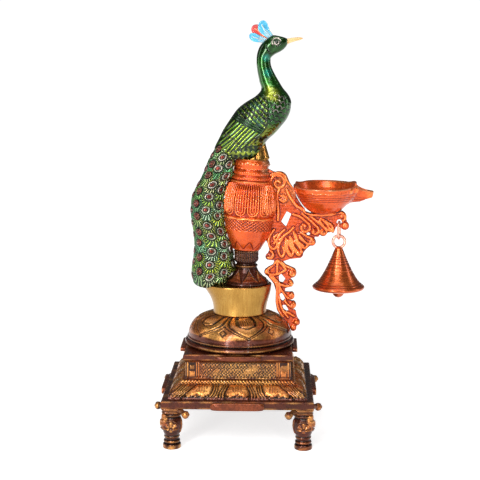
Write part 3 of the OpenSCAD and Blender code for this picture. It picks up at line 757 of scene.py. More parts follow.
def make_vase():
    side = profile([(3, 0), (11.4, 0), (12.4, 0.6), (13.4, 2.6), (15.6, 6.4), (18.0, 11), (19.6, 14.8),
                    (20.5, 17.0), (20.9, 18), (21.3, 22), (22.0, 27.4), (22.5, 28.2), (22.6, 29.8),
                    (22.3, 30.6), (22.7, 34), (23.2, 38), (23.3, 42), (23.0, 46), (22.2, 50), (20.8, 54),
                    (19.2, 57), (18.0, 59), (18.4, 59.9), (17.6, 60.8), (16.6, 61.5), (16.9, 62.6),
                    (16.6, 63.7), (15.6, 64.7), (15.3, 65.4), (15.9, 66.3), (16.1, 67.3), (15.8, 68.4),
                    (15.0, 69.1), (14.5, 70.0), (14.2, 71.6), (14.5, 72.6), (15.0, 73.6), (15.3, 75.2),
                    (15.1, 76.8), (14.4, 78.2), (13.7, 79), (12.3, 79), (11.7, 78.2), (11.6, 66)], 330)

    def fields(t, r, h):
        q = ((((t - VASE_TURN) * VASE_PETALS / TAU + 0.5) % 1.0) - 0.5) * 11.2
        low = np.minimum(h - 36.4, 0)
        d = np.hypot(q, low)
        on = between(h, 30.3, 31.0, 57.4, 59.2)
        ribs = np.cos(2 * PI * d / 2.24)
        inside = 1 - ease(d, 5.1, 5.7) * ease(-low, 0, 0.8)
        gap = ease(np.abs(q), 4.9, 5.5)
        seed = bump(np.hypot(q, h - 33.7), 1.2)
        scallop = stroke(h - (29.3 - 0.8 * np.cos(q / 11.2 * PI)), 0.75)
        band = between(h, 18.1, 18.6, 27.0, 27.6)
        a = np.abs((t * 36 / TAU + h * 0.38) % 1 - 0.5) * 2
        b = np.abs((t * 36 / TAU - h * 0.38) % 1 - 0.5) * 2
        net = np.maximum(stroke(1 - a, 0.42), stroke(1 - b, 0.42))
        beads = stroke(h - 75.2, 1.2) * (0.5 + 0.5 * np.cos(t * 26))
        fringe = np.cos(t * 64) * strokes(h, (67.3, 0.9), (62.6, 0.9), (71.4, 1.0))
        leaf = np.abs(((t * 9 / TAU) % 1) - 0.5) * 2
        foot = between(h, 1.0, 1.6, 8.0, 8.6) * stroke((leaf - np.clip((h - 1) / 7.4, 0, 1)) * 5.0, 0.9)
        return dict(q=q, on=on, ribs=ribs, inside=inside, gap=gap, seed=seed, scallop=scallop, band=band,
                    net=net, beads=beads, fringe=fringe, foot=foot)

    def lift(t, r, h):
        f = fields(t, r, h)
        outer = (r > 13.8) | (h < 60)
        body = f["on"] * (0.50 * f["ribs"] * f["inside"] - 0.75 * (1 - f["inside"]) - 0.35 * f["gap"]
                          + 0.45 * f["seed"])
        bands = f["band"] * (0.62 * f["net"] - 0.5) + 0.42 * f["beads"] + 0.13 * f["fringe"]
        out = body + 0.42 * f["scallop"] + bands - 0.3 * f["foot"]
        return outer * out + 0.05 * wobble(points(r * np.cos(t), r * np.sin(t), h), 3.0)

    p, t, r, h, rel = revolve(side, 780, lift, VASE_FOOT, VASE_LEAN)
    f = fields(t, r, h)
    patchy = 0.5 + 0.5 * wobble(p, 6.0, 3.0)
    rub = most(f["on"] * ease(f["ribs"], 0.35, 1.0) * f["inside"] * (0.4 + 0.6 * patchy)
               * (1 - 0.6 * ease(h, 44, 56)), f["scallop"] * 0.85, f["band"] * f["net"] * 0.16,
               0.8 * f["beads"] * patchy, stroke(h - 59.9, 0.8) * 0.6, stroke(h - 78.6, 0.8) * 0.35,
               stroke(h - 66.3, 0.6) * 0.3 * patchy)
    dark = f["on"] * ease(-f["ribs"], 0.0, 0.7) * (0.6 + 0.45 * ease(h, 40, 50)
            * ease(wobble(p, 5.0, 1.2), -0.2, 0.35))
    holes = f["band"] * (1 - f["net"])
    level = 0.62 - 0.62 * most(0.95 * dark, 0.85 * holes, 0.6 * f["on"] * (1 - f["inside"]),
            0.7 * f["foot"])
    level = level - 0.35 * most(stroke(h - 61.3, 0.6), stroke(h - 65.2, 0.7), stroke(h - 70.2, 0.9),
            stroke(h - 28.0, 0.4), stroke(h - 75.2, 1.3) * (1 - f["beads"]))
    a = (t + PI) % TAU - PI
    bare = ease(h, 63, 67) * ease(np.cos(a + 0.35), 0.72, 0.93)
    inside = (r < 13) & (h > 60)
    piece("vase_casting", p, {"relief": level, "rub": rub, "bare": np.maximum(bare, inside * 0.8)}, COPPER,
          "copper_lacquer", "vase")


def make_perch():
    z = np.concatenate([[229.05], np.linspace(229.4, 239.5, 14), np.linspace(240, 255, 26)])
    right = curve(z, [(229, 21.6), (238, 23.4), (240, 25.8), (243, 25.2), (250, 23.2), (255, 22.0)])
    left = curve(z, [(229, -0.2), (238, -0.4), (240, -1.0), (250, 2.6), (255, 4.0)])
    deep = curve(z, [(229, 10.9), (238, 11.0), (240, 9.8), (246, 8.8), (255, 8.0)])
    p, th = loft(z, left, right, deep, 120)
    n = grid_normals(p, True, False)
    line = np.abs(((th * 9 / TAU) % 1) - 0.5) * 2
    cut = stroke(1 - line, 0.30) * ease(z, 239.5, 241)[None]
    p = p - n * (0.9 * cut)[..., None]
    piece("perch_casting", p, {"rub": 0.9 * cut + 0.25 * wobble(p, 3, 1)}, BRASS, "brass", "perch")


# ---------------------------------------------------------------- bird
def loft(z, left, right, deep, n, square=1.0):
    """Horizontal oval rings between left and right edges, deep across."""
    th = angles(n)[:, None]
    c, s = squared(th, square)
    p = points((right + left) / 2 + (right - left) / 2 * c, deep * s, z)
    return p, np.broadcast_to(th, p.shape[:2])


def make_body():
    z = np.concatenate([np.linspace(240.4, 330, 330), np.linspace(330.2, 344.7, 90)[:-1], [344.66]])
    left = curve(z, [(240.4, -13.5), (243, -16.5), (248, -21.5), (252, -20.4), (256, -18.4), (264, -14.4),
                     (271, -10), (277, -6), (284, -0.3), (289, 6.3), (293.5, 13.7), (298, 18), (306, 16.9),
                     (314, 15.3), (322, 14.5), (330, 15.2), (336, 17.7), (340, 21), (343, 25), (344.4, 28),
                     (344.7, 29.2)])
    right = curve(z, [(240.4, 16.5), (243, 18.0), (246, 19.3), (250, 20.8), (254, 22.6), (257, 25.2),
                      (260, 28.6), (264, 32.6), (268, 36), (273, 40), (279, 43), (284.5, 44.1), (290, 44),
                      (295, 41.5), (300, 37.4), (306.5, 33.3), (313, 29.6), (318.5, 27.1), (323, 26.4),
                      (326, 27), (328.5, 30), (331.4, 35.5), (334, 38.6), (337, 40.6), (339.5, 41.2),
                      (341.8, 40.2), (343.4, 36), (344.3, 32), (344.7, 29.8)])
    deep = curve(z, [(240.4, 11.5), (243, 13), (246, 14), (250, 14.8), (256, 15.6), (265, 16.5),
                     (275, 16.5), (283, 15.5), (290, 13.5), (296, 11), (302, 8.8), (310, 7), (318, 6),
                     (326, 5.8), (332, 6.4), (338, 6.6), (342, 5), (344.2, 2.6), (344.7, 0.4)])
    p, th = loft(z, left, right, deep, 420, 0.94)
    n = grid_normals(p, True, False)
    x, h = p[..., 0], p[..., 2]
    s = -0.72 * (x - 18) - 0.69 * (h - 298)
    t = 0.69 * (x - 18) - 0.72 * (h - 298)
    front = np.abs(np.sin(th)) ** 0.7
    # wing: scales above a three-line band, long feathers below it, in two tiers
    ridge = curve(h, [(240, 4), (257.6, 12.3), (261, 17), (265, 21), (271, 23.2), (278, 23.7), (286, 23.9),
                      (292, 22), (296, 19)])
    wing = ease(ridge - x, -0.3, 0.6) * (1 - ease(h, 293, 297)) * (s > 2)
    seam = stroke(ridge - x, 1.1) * between(h, 256.5, 259, 293, 297)
    band = 32.6 - 0.33 * t
    scale_zone = wing * (1 - ease(s - band, -5.2, -4.6))
    band_lines = most(*[stroke(s - band + k, 0.85) for k in (0.3, 2.4, 4.6)]) * wing
    row, col = s / 3.6, t / 4.3
    col = col + 0.5 * (np.floor(row) % 2)
    fx, fy = (col % 1) - 0.5, row % 1
    scale_edge = stroke((np.hypot(fx * 1.5, fy) - 0.82) * 3.6, 0.95) * scale_zone
    tier1 = np.where(t > 20, 30.5 + (26 - t) * 0.5 + 14 * (1 - ease(t, 20, 26)), 47.5 - 0.2 * t)
    tier2 = curve(t, [(-20, 70), (10, 64.5), (21.8, 48.6), (30, 31.5), (40, 20)])
    plume1 = wing * ease(s - band, 0.6, 1.2) * (1 - ease(s - tier1, -0.4, 0.2))
    plume2 = ease(s - tier1, -0.2, 0.4) * (1 - ease(s - tier2, -0.4, 0.2))
    plume2 = plume2 * (x < ridge + 6) * (h < 296) * (s > 22)
    bend = t + 0.012 * (s - 34) ** 2 * np.sign(14 - t) * 0.25
    vane = np.cos(2 * PI * bend / 2.9)
    quill = stroke((bend / 2.9 % 1 - 0.5) * 2.9, 0.55)
    edges = np.maximum(stroke(s - tier1, 1.1) * wing, stroke(s - tier2, 1.1) * ease(s, 24, 28) * (h < 290)
            * (h > 244))
    # thigh and belly: rough curls
    thigh = (1 - ease(s - tier2, -0.6, 0.4) < 0.5) & (h < 268) & (s > 20) | ((x > ridge) & (h < 262))
    curls = wobble(points(x, h, np.full_like(x, 1.0)), 1.15, 2.0)
    # breast marks and neck rings
    breast = (x > ridge + 0.8) * between(h, 258, 264, 293, 297)
    brow, bcol = (x * 0.35 + h) / 4.4, (x - h * 0.25) / 4.6
    bcol = bcol + 0.5 * (np.floor(brow) % 2)
    mark = stroke((np.hypot(((bcol % 1) - 0.5) * 1.4, (brow % 1)) - 0.62) * 4.4, 0.9) * breast
    neck_base = between(h, 291, 297, 308, 316)
    neck_marks = neck_base * stroke(((h - x * 0.4) / 3.4 % 1 - 0.5) * 3.4,
            0.5) * ease(x - 22, 2, 5) * (1 - ease(x, 32, 36))
    eye = np.hypot(x - 31.4, h - 338.6)
    lid = np.hypot(x - 31.2, (h - 338.8) * 1.06)
    socket = stroke(lid - 3.7, 0.55) * ((h > 337.4) | (x > 31)) + stroke(eye - 2.0, 0.55)
    cheek = stroke(np.hypot(x - 33, h - 337) - 10.2, 0.6) * (x < 27) * (h < 337) * (h > 327)
    cuts = np.clip(most(scale_edge, band_lines, edges, 0.8 * socket * front, cheek * front), 0, 1)
    feathers = plume1 + plume2
    height = (-0.45 * cuts + 0.28 * feathers * vane * (1 - cuts) + 0.42 * seam + 0.28 * thigh * curls
              - 0.22 * mark - 0.12 * neck_marks + 0.25 * wing - 0.25 * plume2)
    height = height * front + 0.08 * wobble(p, 5.0, 2.0) * (h < 300)
    p = p + n * height[..., None]
    # each scale is painted lighter towards one end: a painted highlight crescent on every scale, with painted
    # shade over the rest
    relief = (0.48 - 0.7 * cuts + 0.30 * feathers * vane - 0.40 * quill * feathers + 0.40 * thigh * curls
              - 0.22 * thigh - 0.30 * seam + 0.75 * scale_zone * (0.42 - fy) * (1 - scale_edge)
              - 0.45 * mark - 0.5 * (1 - ease(eye, 0.9, 1.5)) * front - 0.16 * ease(h, 322, 330))
    # the scale term here paints the same highlight crescent in yellow-green
    gild_and_highlight = np.clip(most(0.42 * thigh * ease(curls, -0.2, 0.6),
            0.45 * scale_zone * ease(0.45 - fy, 0.05, 0.4) * (1 - scale_edge),
            0.50 * plume2 * ease(vane, 0, 1), 0.50 * plume1 * ease(vane, 0.1, 1),
            0.5 * stroke(h - 296 + (x - 26) * 0.3, 8.0) * stroke(x - 28, 8.5),
            0.35 * breast * (1 - ease(h, 262, 272))) * front, 0, 1)
    teal = np.clip(most(0.9 * stroke(np.hypot(x - 23.0, h - 325.5), 4.5),
            0.8 * stroke(np.hypot(x - 24.6, h - 313.5), 5.5),
            0.12 * scale_zone * ease(wobble(p, 6.0, 4.0), 0.1, 0.5)) * front, 0, 1)
    silver = np.clip((stroke(lid - 3.6, 0.75) * ease(h - x * 0.5, 321.4, 322.6) + stroke(eye - 1.9, 0.65)
                      * (h < 339.4) + 0.45 * mark * ease(wobble(p, 4.0, 1.0), 0.0, 0.4) * ease(h, 276, 284))
                      * front, 0, 1)
    piece("bird_body_casting", p, {"relief": relief, "gild_and_highlight": gild_and_highlight, "teal": teal, "silver": silver * 0.85,
            "eye": 0 * h}, GREEN, "green_lacquer", "peacock_body")
    # bill
    root, tip = np.array([38.8, 0, 339.0]), np.array([53.8, 0, 342.0])
    k = np.linspace(0, 1, 26)
    line = root[None] + (tip - root)[None] * k[:, None] + np.stack([0 * k, 0 * k, 0.55 * np.sin(PI * k)],
            axis=1)
    q = tube(line, curve(k, [(0, 2.6), (0.2, 2.15), (0.6, 1.55), (0.9, 0.95), (1, 0.2)]), 28)
    side = angles(28)[:, None]
    gape = stroke(np.sin(side) * 3 * np.sign(np.cos(side)) + 0 * k[None], 0.5001)
    piece("bill_casting", q, {"relief": 0.5 + 0.3 * np.cos(side * 2) + 0 * k[None], "rub": 0.15 * gape},
          BILL, "green_lacquer")


def make_tail():
    z = np.concatenate([[131.02, 131.1], np.linspace(131.4, 260, 470)])
    left = curve(z, [(131, -33), (133, -38.5), (137, -41.2), (146, -41.6), (151.8, -40.7), (164.6, -39.4),
                     (179.8, -40.6), (187, -41.8), (199.5, -42.2), (207.9, -40.9), (215.4, -37.5),
                     (224.5, -32.5), (232.8, -29.2), (240.2, -25.8), (247.7, -21.7), (255.9, -16.5),
                     (260, -11)])
    right = curve(z, [(131, -9.5), (137, -8.6), (141, -4.4), (146, -3.9), (154, -5.6), (170, -7.0),
                      (184, -10.6), (194, -11.4), (205, -10.2), (215, -10.2), (220, -9.0), (227, -4.4),
                      (237, -3.0), (245, 0), (252, 5), (260, 6)])
    deep = curve(z, [(131, 14.5), (133, 17.2), (137, 18.0), (142, 17.6), (150, 16.8), (165, 15.2),
                     (180, 14.8), (195, 14.8), (207, 14.6), (220, 13.2), (232, 12.4), (243, 12.4),
                     (252, 12.2), (260, 7)])
    p, th = loft(z, left, right, deep, 460, 0.92)
    n = grid_normals(p, True, False)
    # arc position round the train and height give each feather its place; ten columns, staggered rows
    around = (th / TAU * 10 - 195 / 36) % 10
    size = 1.0 + 0.22 * np.cos(th - math.radians(312))
    best = np.full(th.shape, 1e9)
    second = np.full(th.shape, 1e9)
    dx = np.zeros(th.shape)
    dz = np.zeros(th.shape)
    who = np.zeros(th.shape, int)
    girth = (right - left + 2 * deep)[None] * PI / 2 / 10
    rows = int((248 - 131) / 11.6) + 2
    for c in range(10):
        for r in range(rows):
            k = c * rows + r
            zc = 138.5 + 11.6 * r + (5.8 if c % 2 else 0) + 1.3 * math.sin(k * 2.4)
            ac = c + 0.10 * math.sin(k * 1.7)
            if zc > 252:
                continue
            ex = ((around - ac + 5) % 10 - 5) * girth
            ez = p[..., 2] - zc
            far = np.hypot(ex * 1.15, np.where(ez < 0, ez * 0.62, ez * 1.5))
            closer = far < best
            second = np.where(closer, best, np.minimum(second, far))
            best = np.where(closer, far, best)
            dx, dz = np.where(closer, ex, dx), np.where(closer, ez, dz)
            who = np.where(closer, k, who)
    rad = np.hypot(dx, dz) / size
    ang = np.arctan2(dx, -dz)
    down = 0.5 + 0.5 * np.cos(ang)
    # painted light: this weight treats the train's front-right side as lit; there the barbs are brightened
    # and the eye rings silvered
    lit_side = 0.30 + 0.70 * ease(np.cos(th - math.radians(305)), 0.1, 0.85)
    ring = stroke(rad - 2.3, 0.75)
    core = 1 - ease(rad, 0.9, 1.4)
    dark_ring = np.maximum(stroke(rad - 1.5, 0.45), stroke(rad - 3.2, 0.7))
    border = 1 - ease(second - best, 0.2, 1.1)
    barb = np.cos(ang * (17 + 2 * (who % 3)) + 0.9 * rad)
    barbs = ease(rad, 3.2, 3.9) * (1 - border)
    long = ease(down, 0.35, 0.8)
    low = 1 - ease(p[..., 2], 131.2, 140)
    height = (0.85 * (1 - ease(rad, 2.5, 3.4)) + 0.25 * ring - 0.45 * dark_ring + 0.34 * barb * barbs
              + 0.20 * barbs * long - 0.30 * border)
    height = height * ease(p[..., 2], 131.2, 133) + 0.12 * wobble(p, 6, 1)
    height = height * (0.55 + 0.45 * ease(255 - p[..., 2], 0, 5)) * (1 - 0.5 * ease(-np.cos(th), 0.6, 1.0))
    p = p + n * height[..., None]
    beyond = ease(np.hypot((p[..., 0] + 2.4) / 30.6, p[..., 1] / 25.0), 0.90, 1.04)
    p[..., 2] -= 3.0 * (1 - ease(p[..., 2], 131.0, 140.0)) * beyond
    relief = 0.42 + 0.42 * barb * barbs - 0.75 * dark_ring - 0.35 * border - 0.12 * low + 0.08 * long
    bright = ease(np.sin(who * 2.1), -0.5, 0.6)
    # barbs painted brighter on the lit side
    gild_and_highlight = np.clip(barbs * ease(barb, 0.0, 0.8) * (0.25 + 0.55 * bright) * lit_side + 0.25 * border
                   * ease(wobble(p, 9, 2), 0.1, 0.5), 0, 1)
    teal = np.clip(barbs * (1 - bright) * 0.55 * ease(barb, -0.2, 0.6), 0, 1)
    # eye rings silver only on the lit side, and painted highlights along the barbs there
    pale = np.clip(ring * ease(lit_side, 0.5, 0.95) * (0.45 + 0.3 * wobble(p, 2.2, 3)) + 0.55 * barbs
                   * ease(barb, 0.5, 0.95) * long * lit_side * ease(np.sin(who * 3.7), -0.3, 0.5), 0, 1)
    # dark eye core, plus the eye rings of the shaded side in red-brown as painted shade
    eye_and_shaded_ring = np.clip(np.maximum(core, ring * (1 - ease(lit_side, 0.5, 0.95))), 0, 1)
    piece("train_casting", p, {"relief": relief, "gild_and_highlight": gild_and_highlight, "teal": teal, "silver": pale,
            "eye": eye_and_shaded_ring}, GREEN, "green_lacquer", "peacock_tail")


def make_crest():
    plumes = [("plume_front", (29.2, 341.2), (17.8, 356.3), 4.7, 0.0, BLUE, 1.1),
              ("plume_middle", (26.4, 340.8), (10.6, 352.0), 4.5, 0.7, RED, 0.0),
              ("plume_back", (25.6, 339.8), (8.2, 344.6), 3.5, -0.6, BLUE, 0.5)]
    for i, (name, root, tip, half, y, mat, bow) in enumerate(plumes):
        root, tip = np.array(root), np.array(tip)
        d = (tip - root) / np.linalg.norm(tip - root)
        length = float(np.linalg.norm(tip - root))
        across = np.array([-d[1], d[0]])
        k = np.linspace(0, 1, 60)
        grow = half * (0.26 + 0.74 * np.clip(k / 0.72, 0, 1) ** 0.75)
        w = np.where(k < 0.72, grow, half * np.sqrt(np.clip(1 - ((k - 0.72) / 0.28) ** 2, 0, 1)))
        w[-1] = 0.05
        v = np.linspace(-1, 1, 33)
        kk, vv = np.meshgrid(k, v, indexing="ij")
        bowed = across[None] * (bow * 1.6 * np.sin(PI * k))[:, None]
        mid = root[None] + d[None] * (k * length)[:, None] + bowed
        pos = mid[:, None, :] + across[None, None] * (vv * w[:, None])[..., None]
        thick = 0.85 * np.sqrt(np.clip(1 - 0.75 * vv ** 2, 0, 1)) * (0.9 - 0.25 * kk)
        barbs = np.cos((kk * length + np.abs(vv) * w[:, None] * 1.2) * 2 * PI / 1.25)
        quill = stroke(vv * w[:, None], 0.55) * (kk < 0.86)
        rim = ease(np.abs(vv), 0.84, 0.95)
        lines = stroke(np.abs(vv) * w[:, None] - 1.3, 0.4) * (kk < 0.55)
        lift = thick + 0.07 * barbs + 0.18 * quill
        front = points(pos[..., 0], y - lift, pos[..., 1])
        back = points(pos[..., 0], y + lift, pos[..., 1])
        loop = np.concatenate([front, back[:, ::-1]], axis=1)
        masks = {}
        for key, val in (("relief", 0.5 + 0.28 * barbs * (np.abs(vv) < 0.85)),
                         ("rub", np.clip(most(0.5 * quill, 0.6 * rim * (kk < 0.5), 0.5 * lines), 0, 1))):
            masks[key] = np.concatenate([val, val[:, ::-1]], axis=1).T
        piece(name, loop.transpose(1, 0, 2), masks, mat, "crest_lacquer", *(["crest"] if i == 0 else []))


# ---------------------------------------------------------------- bracket
# Raised lines of the casting, in the plate's own X and Z, in mm.
SCROLLS = [
    [(51.5, 198), (58.5, 193.4), (68.5, 191.4), (78.5, 192.2), (86.5, 194), (91, 192), (91.5, 188.5),
     (89.6, 186.6)],
    [(46.5, 192), (51.5, 190.5), (57, 186.5), (60.5, 183), (61, 179.5), (58.5, 177), (55, 177.5),
     (53.5, 180.5),
     (55, 183), (57.5, 182)],
    [(54.5, 192.5), (59.5, 188.5), (65, 183.5), (68.5, 179.5), (68.5, 176.6), (66, 175), (63.5, 176.4),
     (64, 178.5)],
    [(61.5, 190.5), (66.5, 186.5), (72, 182), (75, 178.6), (75, 175.8), (72.4, 174.6), (70.4, 176.4),
     (71.8, 178.4)],
    [(70.5, 188.5), (75.5, 185.5), (80.6, 181.5), (81.4, 177.5)],
    [(69.5, 186.5), (74, 180.8), (77.6, 178.4), (80.6, 177.2)],
    [(72.5, 187.5), (77, 182), (80, 178.2)],
    [(53, 176.5), (59, 172.5), (64, 169.6), (64.6, 166.6), (61, 166), (56, 168.5), (52.5, 171.5)],
    [(47, 176.5), (49, 170.5), (53, 164.9), (57, 162.6), (59.4, 165.5), (56.5, 168.5), (52, 173.5)],
    [(48.5, 174.5), (51, 168.5), (55.5, 164.6)],
    [(44, 172.5), (45, 166.5), (48, 160.9), (51.6, 156.5), (54.2, 158.4), (52, 163.5), (48, 168.5)],
    [(45.5, 170.5), (47.5, 163.5), (51.5, 158.6)],
    [(40.5, 170.5), (40, 164.5), (42, 158.4), (45, 155.4), (46.8, 158.4), (44.5, 163.5), (43, 168.5)],
    [(41.5, 169.5), (42, 161.5), (44.5, 157)],
    [(37, 170.5), (34.4, 165.5), (34, 159), (37, 154.8), (39, 157.8), (38, 163.5)],
    [(30, 178.5), (26.6, 173.5), (25.2, 168.5), (27, 163), (30, 161.5), (33, 166.5), (30, 171.5),
     (33, 174.5)],
    [(39, 178.5), (35, 174.5), (33, 170.5), (30, 166.5)],
    [(47, 180.5), (43, 176.5), (39, 173.5), (35, 169.5)],
    [(27, 160), (29, 158), (29, 154.8), (26.8, 152.8), (24.6, 154)],
    [(27, 226), (32.5, 228.2), (38.2, 226), (40.8, 221.5)],
    [(27.5, 216.5), (26.9, 221.5), (30.5, 225.6), (36.5, 225), (39, 220.5), (37, 216), (32.5, 215.4),
     (30.6, 218.5),
     (32.5, 221.4), (35, 220)],
    [(42, 219.8), (45.4, 215), (47.8, 209.5), (51, 204.5), (54, 200.5)],
    [(40.6, 213.6), (42.8, 208.8), (46, 203.3), (50, 198.5)],
    [(35.5, 208.3), (39, 208.2), (40.6, 205), (38, 203.2), (35, 205)],
    [(34.2, 213.5), (32.6, 208.5), (33, 202.5), (33.6, 195), (33.4, 187)],
    [(33, 151.4), (28, 146.4), (23.6, 142.2), (22.8, 140.8)],
    [(33.5, 151.4), (33, 146.5), (33, 141)],
    [(33.8, 151.4), (37, 148), (40.5, 143.6)],
    [(23.4, 140.6), (28, 138.8), (34, 139.6), (40.5, 143)],
    [(36.8, 149.6), (40.5, 146.9), (45.5, 144.4), (48.2, 143), (48.6, 140), (46.4, 138.2), (44.2, 139.8)],
    [(26.5, 137.6), (31.5, 133.8), (36.6, 130), (41.5, 128.7), (45.3, 129.3), (46.2, 131.8), (44.2, 133.4)],
    [(33, 131), (36.2, 126), (39.8, 121), (42.8, 118), (46.6, 117.9), (47.8, 120.4), (46, 122.4)],
    [(38.6, 119), (40.5, 114.5), (44, 111), (47.8, 109.8), (49.1, 112), (47.5, 114.1)],
    [(27, 136.6), (32.2, 130), (32.8, 122.5), (32.9, 114), (34.5, 107.4), (38, 101.6)],
    [(29.6, 136.6), (34.8, 130), (35.2, 122.5), (35.6, 114), (38.4, 106.4), (42.5, 101)],
    [(39, 107), (43.5, 104.5), (48, 101.8)],
]
# Domed curl ends: X, Z, radius.
CURLS = [(34.6, 220.6, 2.6), (37.6, 205.8, 1.9), (56, 180.4, 1.9), (65.2, 177.4, 1.7), (72.6, 176.6, 1.5),
         (91.6, 182.4, 3.0), (88.9, 191, 2.2), (62.4, 168.2, 2.4), (45.9, 140.6, 3.2), (44.8, 131.2, 2.4),
         (45.2, 120.2, 2.6), (46.9, 112.2, 2.5), (50.2, 96.6, 2.6), (47.2, 91.9, 2.2), (27, 154.8, 1.8),
         (25.6, 141.2, 1.8), (51.4, 157.6, 2.6)]


BRACKET_VOXEL = 0.42
BRACKET_HALF = 5.6
BOWL_GAP = 1.7


def make_bracket():
    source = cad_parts["bracket"]
    ob = bpy.data.objects.new("bracket_casting", source.data.copy())
    bpy.context.scene.collection.objects.link(ob)
    remesh = ob.modifiers.new("remesh", "REMESH")
    remesh.mode = "VOXEL"
    remesh.voxel_size = BRACKET_VOXEL * MM
    soft = ob.modifiers.new("soften", "SMOOTH")
    soft.factor, soft.iterations = 0.5, 4
    bpy.context.view_layer.update()
    solid = ob.evaluated_get(bpy.context.evaluated_depsgraph_get())
    me = bpy.data.meshes.new_from_object(solid)
    ob.modifiers.clear()
    ob.data = me
    me.name = "bracket_casting"
    me.materials.clear()
    me.materials.append(COPPER)
    n = len(me.vertices)
    co = np.empty(n * 3, np.float32)
    me.vertices.foreach_get("co", co)
    co = co.reshape(-1, 3).astype(float) / MM
    no = np.array([v.normal[:] for v in me.vertices])
    x, z = co[:, 0], co[:, 2]
    flat = np.stack([x, z], axis=1)
    shore = curve(z, [(192, 57.5), (194, 57.2), (197.4, 54.2), (201.2, 51.2), (206.6, 48.0), (212.6, 45.8),
                      (218.4, 44.0), (220, 43)])
    x = x + BOWL_GAP * ease(x, shore - 4.0, shore) * between(z, 193.5, 197.0, 213, 219) * (x < shore + 2)
    co[:, 0] = x
    near = np.full(n, 9.0)
    for keys in SCROLLS:
        line = path(keys, 90)
        low, high = line.min(0) - 3, line.max(0) + 3
        sel = np.where(((flat > low) & (flat < high)).all(1))[0]
        if len(sel):
            d = np.linalg.norm(flat[sel][:, None] - line[None], axis=2).min(1)
            near[sel] = np.minimum(near[sel], d)
    ridge = bump(near, 1.15)
    dome = np.zeros(n)
    for cx, cz, r in CURLS:
        dome = np.maximum(dome, bump(np.hypot(x - cx, z - cz), r) * r / 2.6)
    tail_hatch = 0.5 + 0.5 * np.cos((z + 0.8 * x) * 2 * PI / 2.2)
    hatched = ((z < 137) & (x < 38)) | ((z > 196) & (x < 33))
    grain = wobble(np.stack([x, co[:, 1] * 0.3, z], 1), 1.0, 1.7)
    h = 0.85 * ridge + 1.15 * dome - 0.35 * (near > 1.2) * (dome < 0.05) + 0.16 * grain * (1 - ridge)
    h = h + 0.22 * tail_hatch * hatched * (1 - ridge)
    side = np.abs(no[:, 1]) ** 1.5
    seat = (z > 192.9) & (np.abs(x - 73.5) < 9.4) & (no[:, 2] > 0.4)
    co = co + no * (h * side * ~seat)[:, None]
    co[:, 1] = np.clip(co[:, 1], -BRACKET_HALF, BRACKET_HALF)
    me.vertices.foreach_set("co", (co * MM).astype(np.float32).ravel())
    edge = 1 - side
    patch = 0.5 + 0.5 * wobble(co, 7.0, 0.4)
    masks = {"relief": np.clip(0.42 + 0.4 * ridge + 0.25 * dome - 0.5 * stroke(near - 1.6, 0.7) - 0.2 * edge
            + 0.10 * grain - 0.12 * hatched * (1 - tail_hatch), 0, 1),
            "rub": np.clip((0.55 * ease(ridge, 0.55, 1) + 0.35 * dome) * (0.3 + 0.7 * patch) + 0.3 * patch
            * ((z > 200) & (x < 48)), 0, 1)}
    for key, val in masks.items():
        me.attributes.new(key, "FLOAT", "POINT").data.foreach_set("value", val.astype(np.float32))
    me.shade_smooth()
    keep(ob, "lamp", "copper_lacquer", "bracket")


# ---------------------------------------------------------------- oil bowl
BOWL_X = 73.5


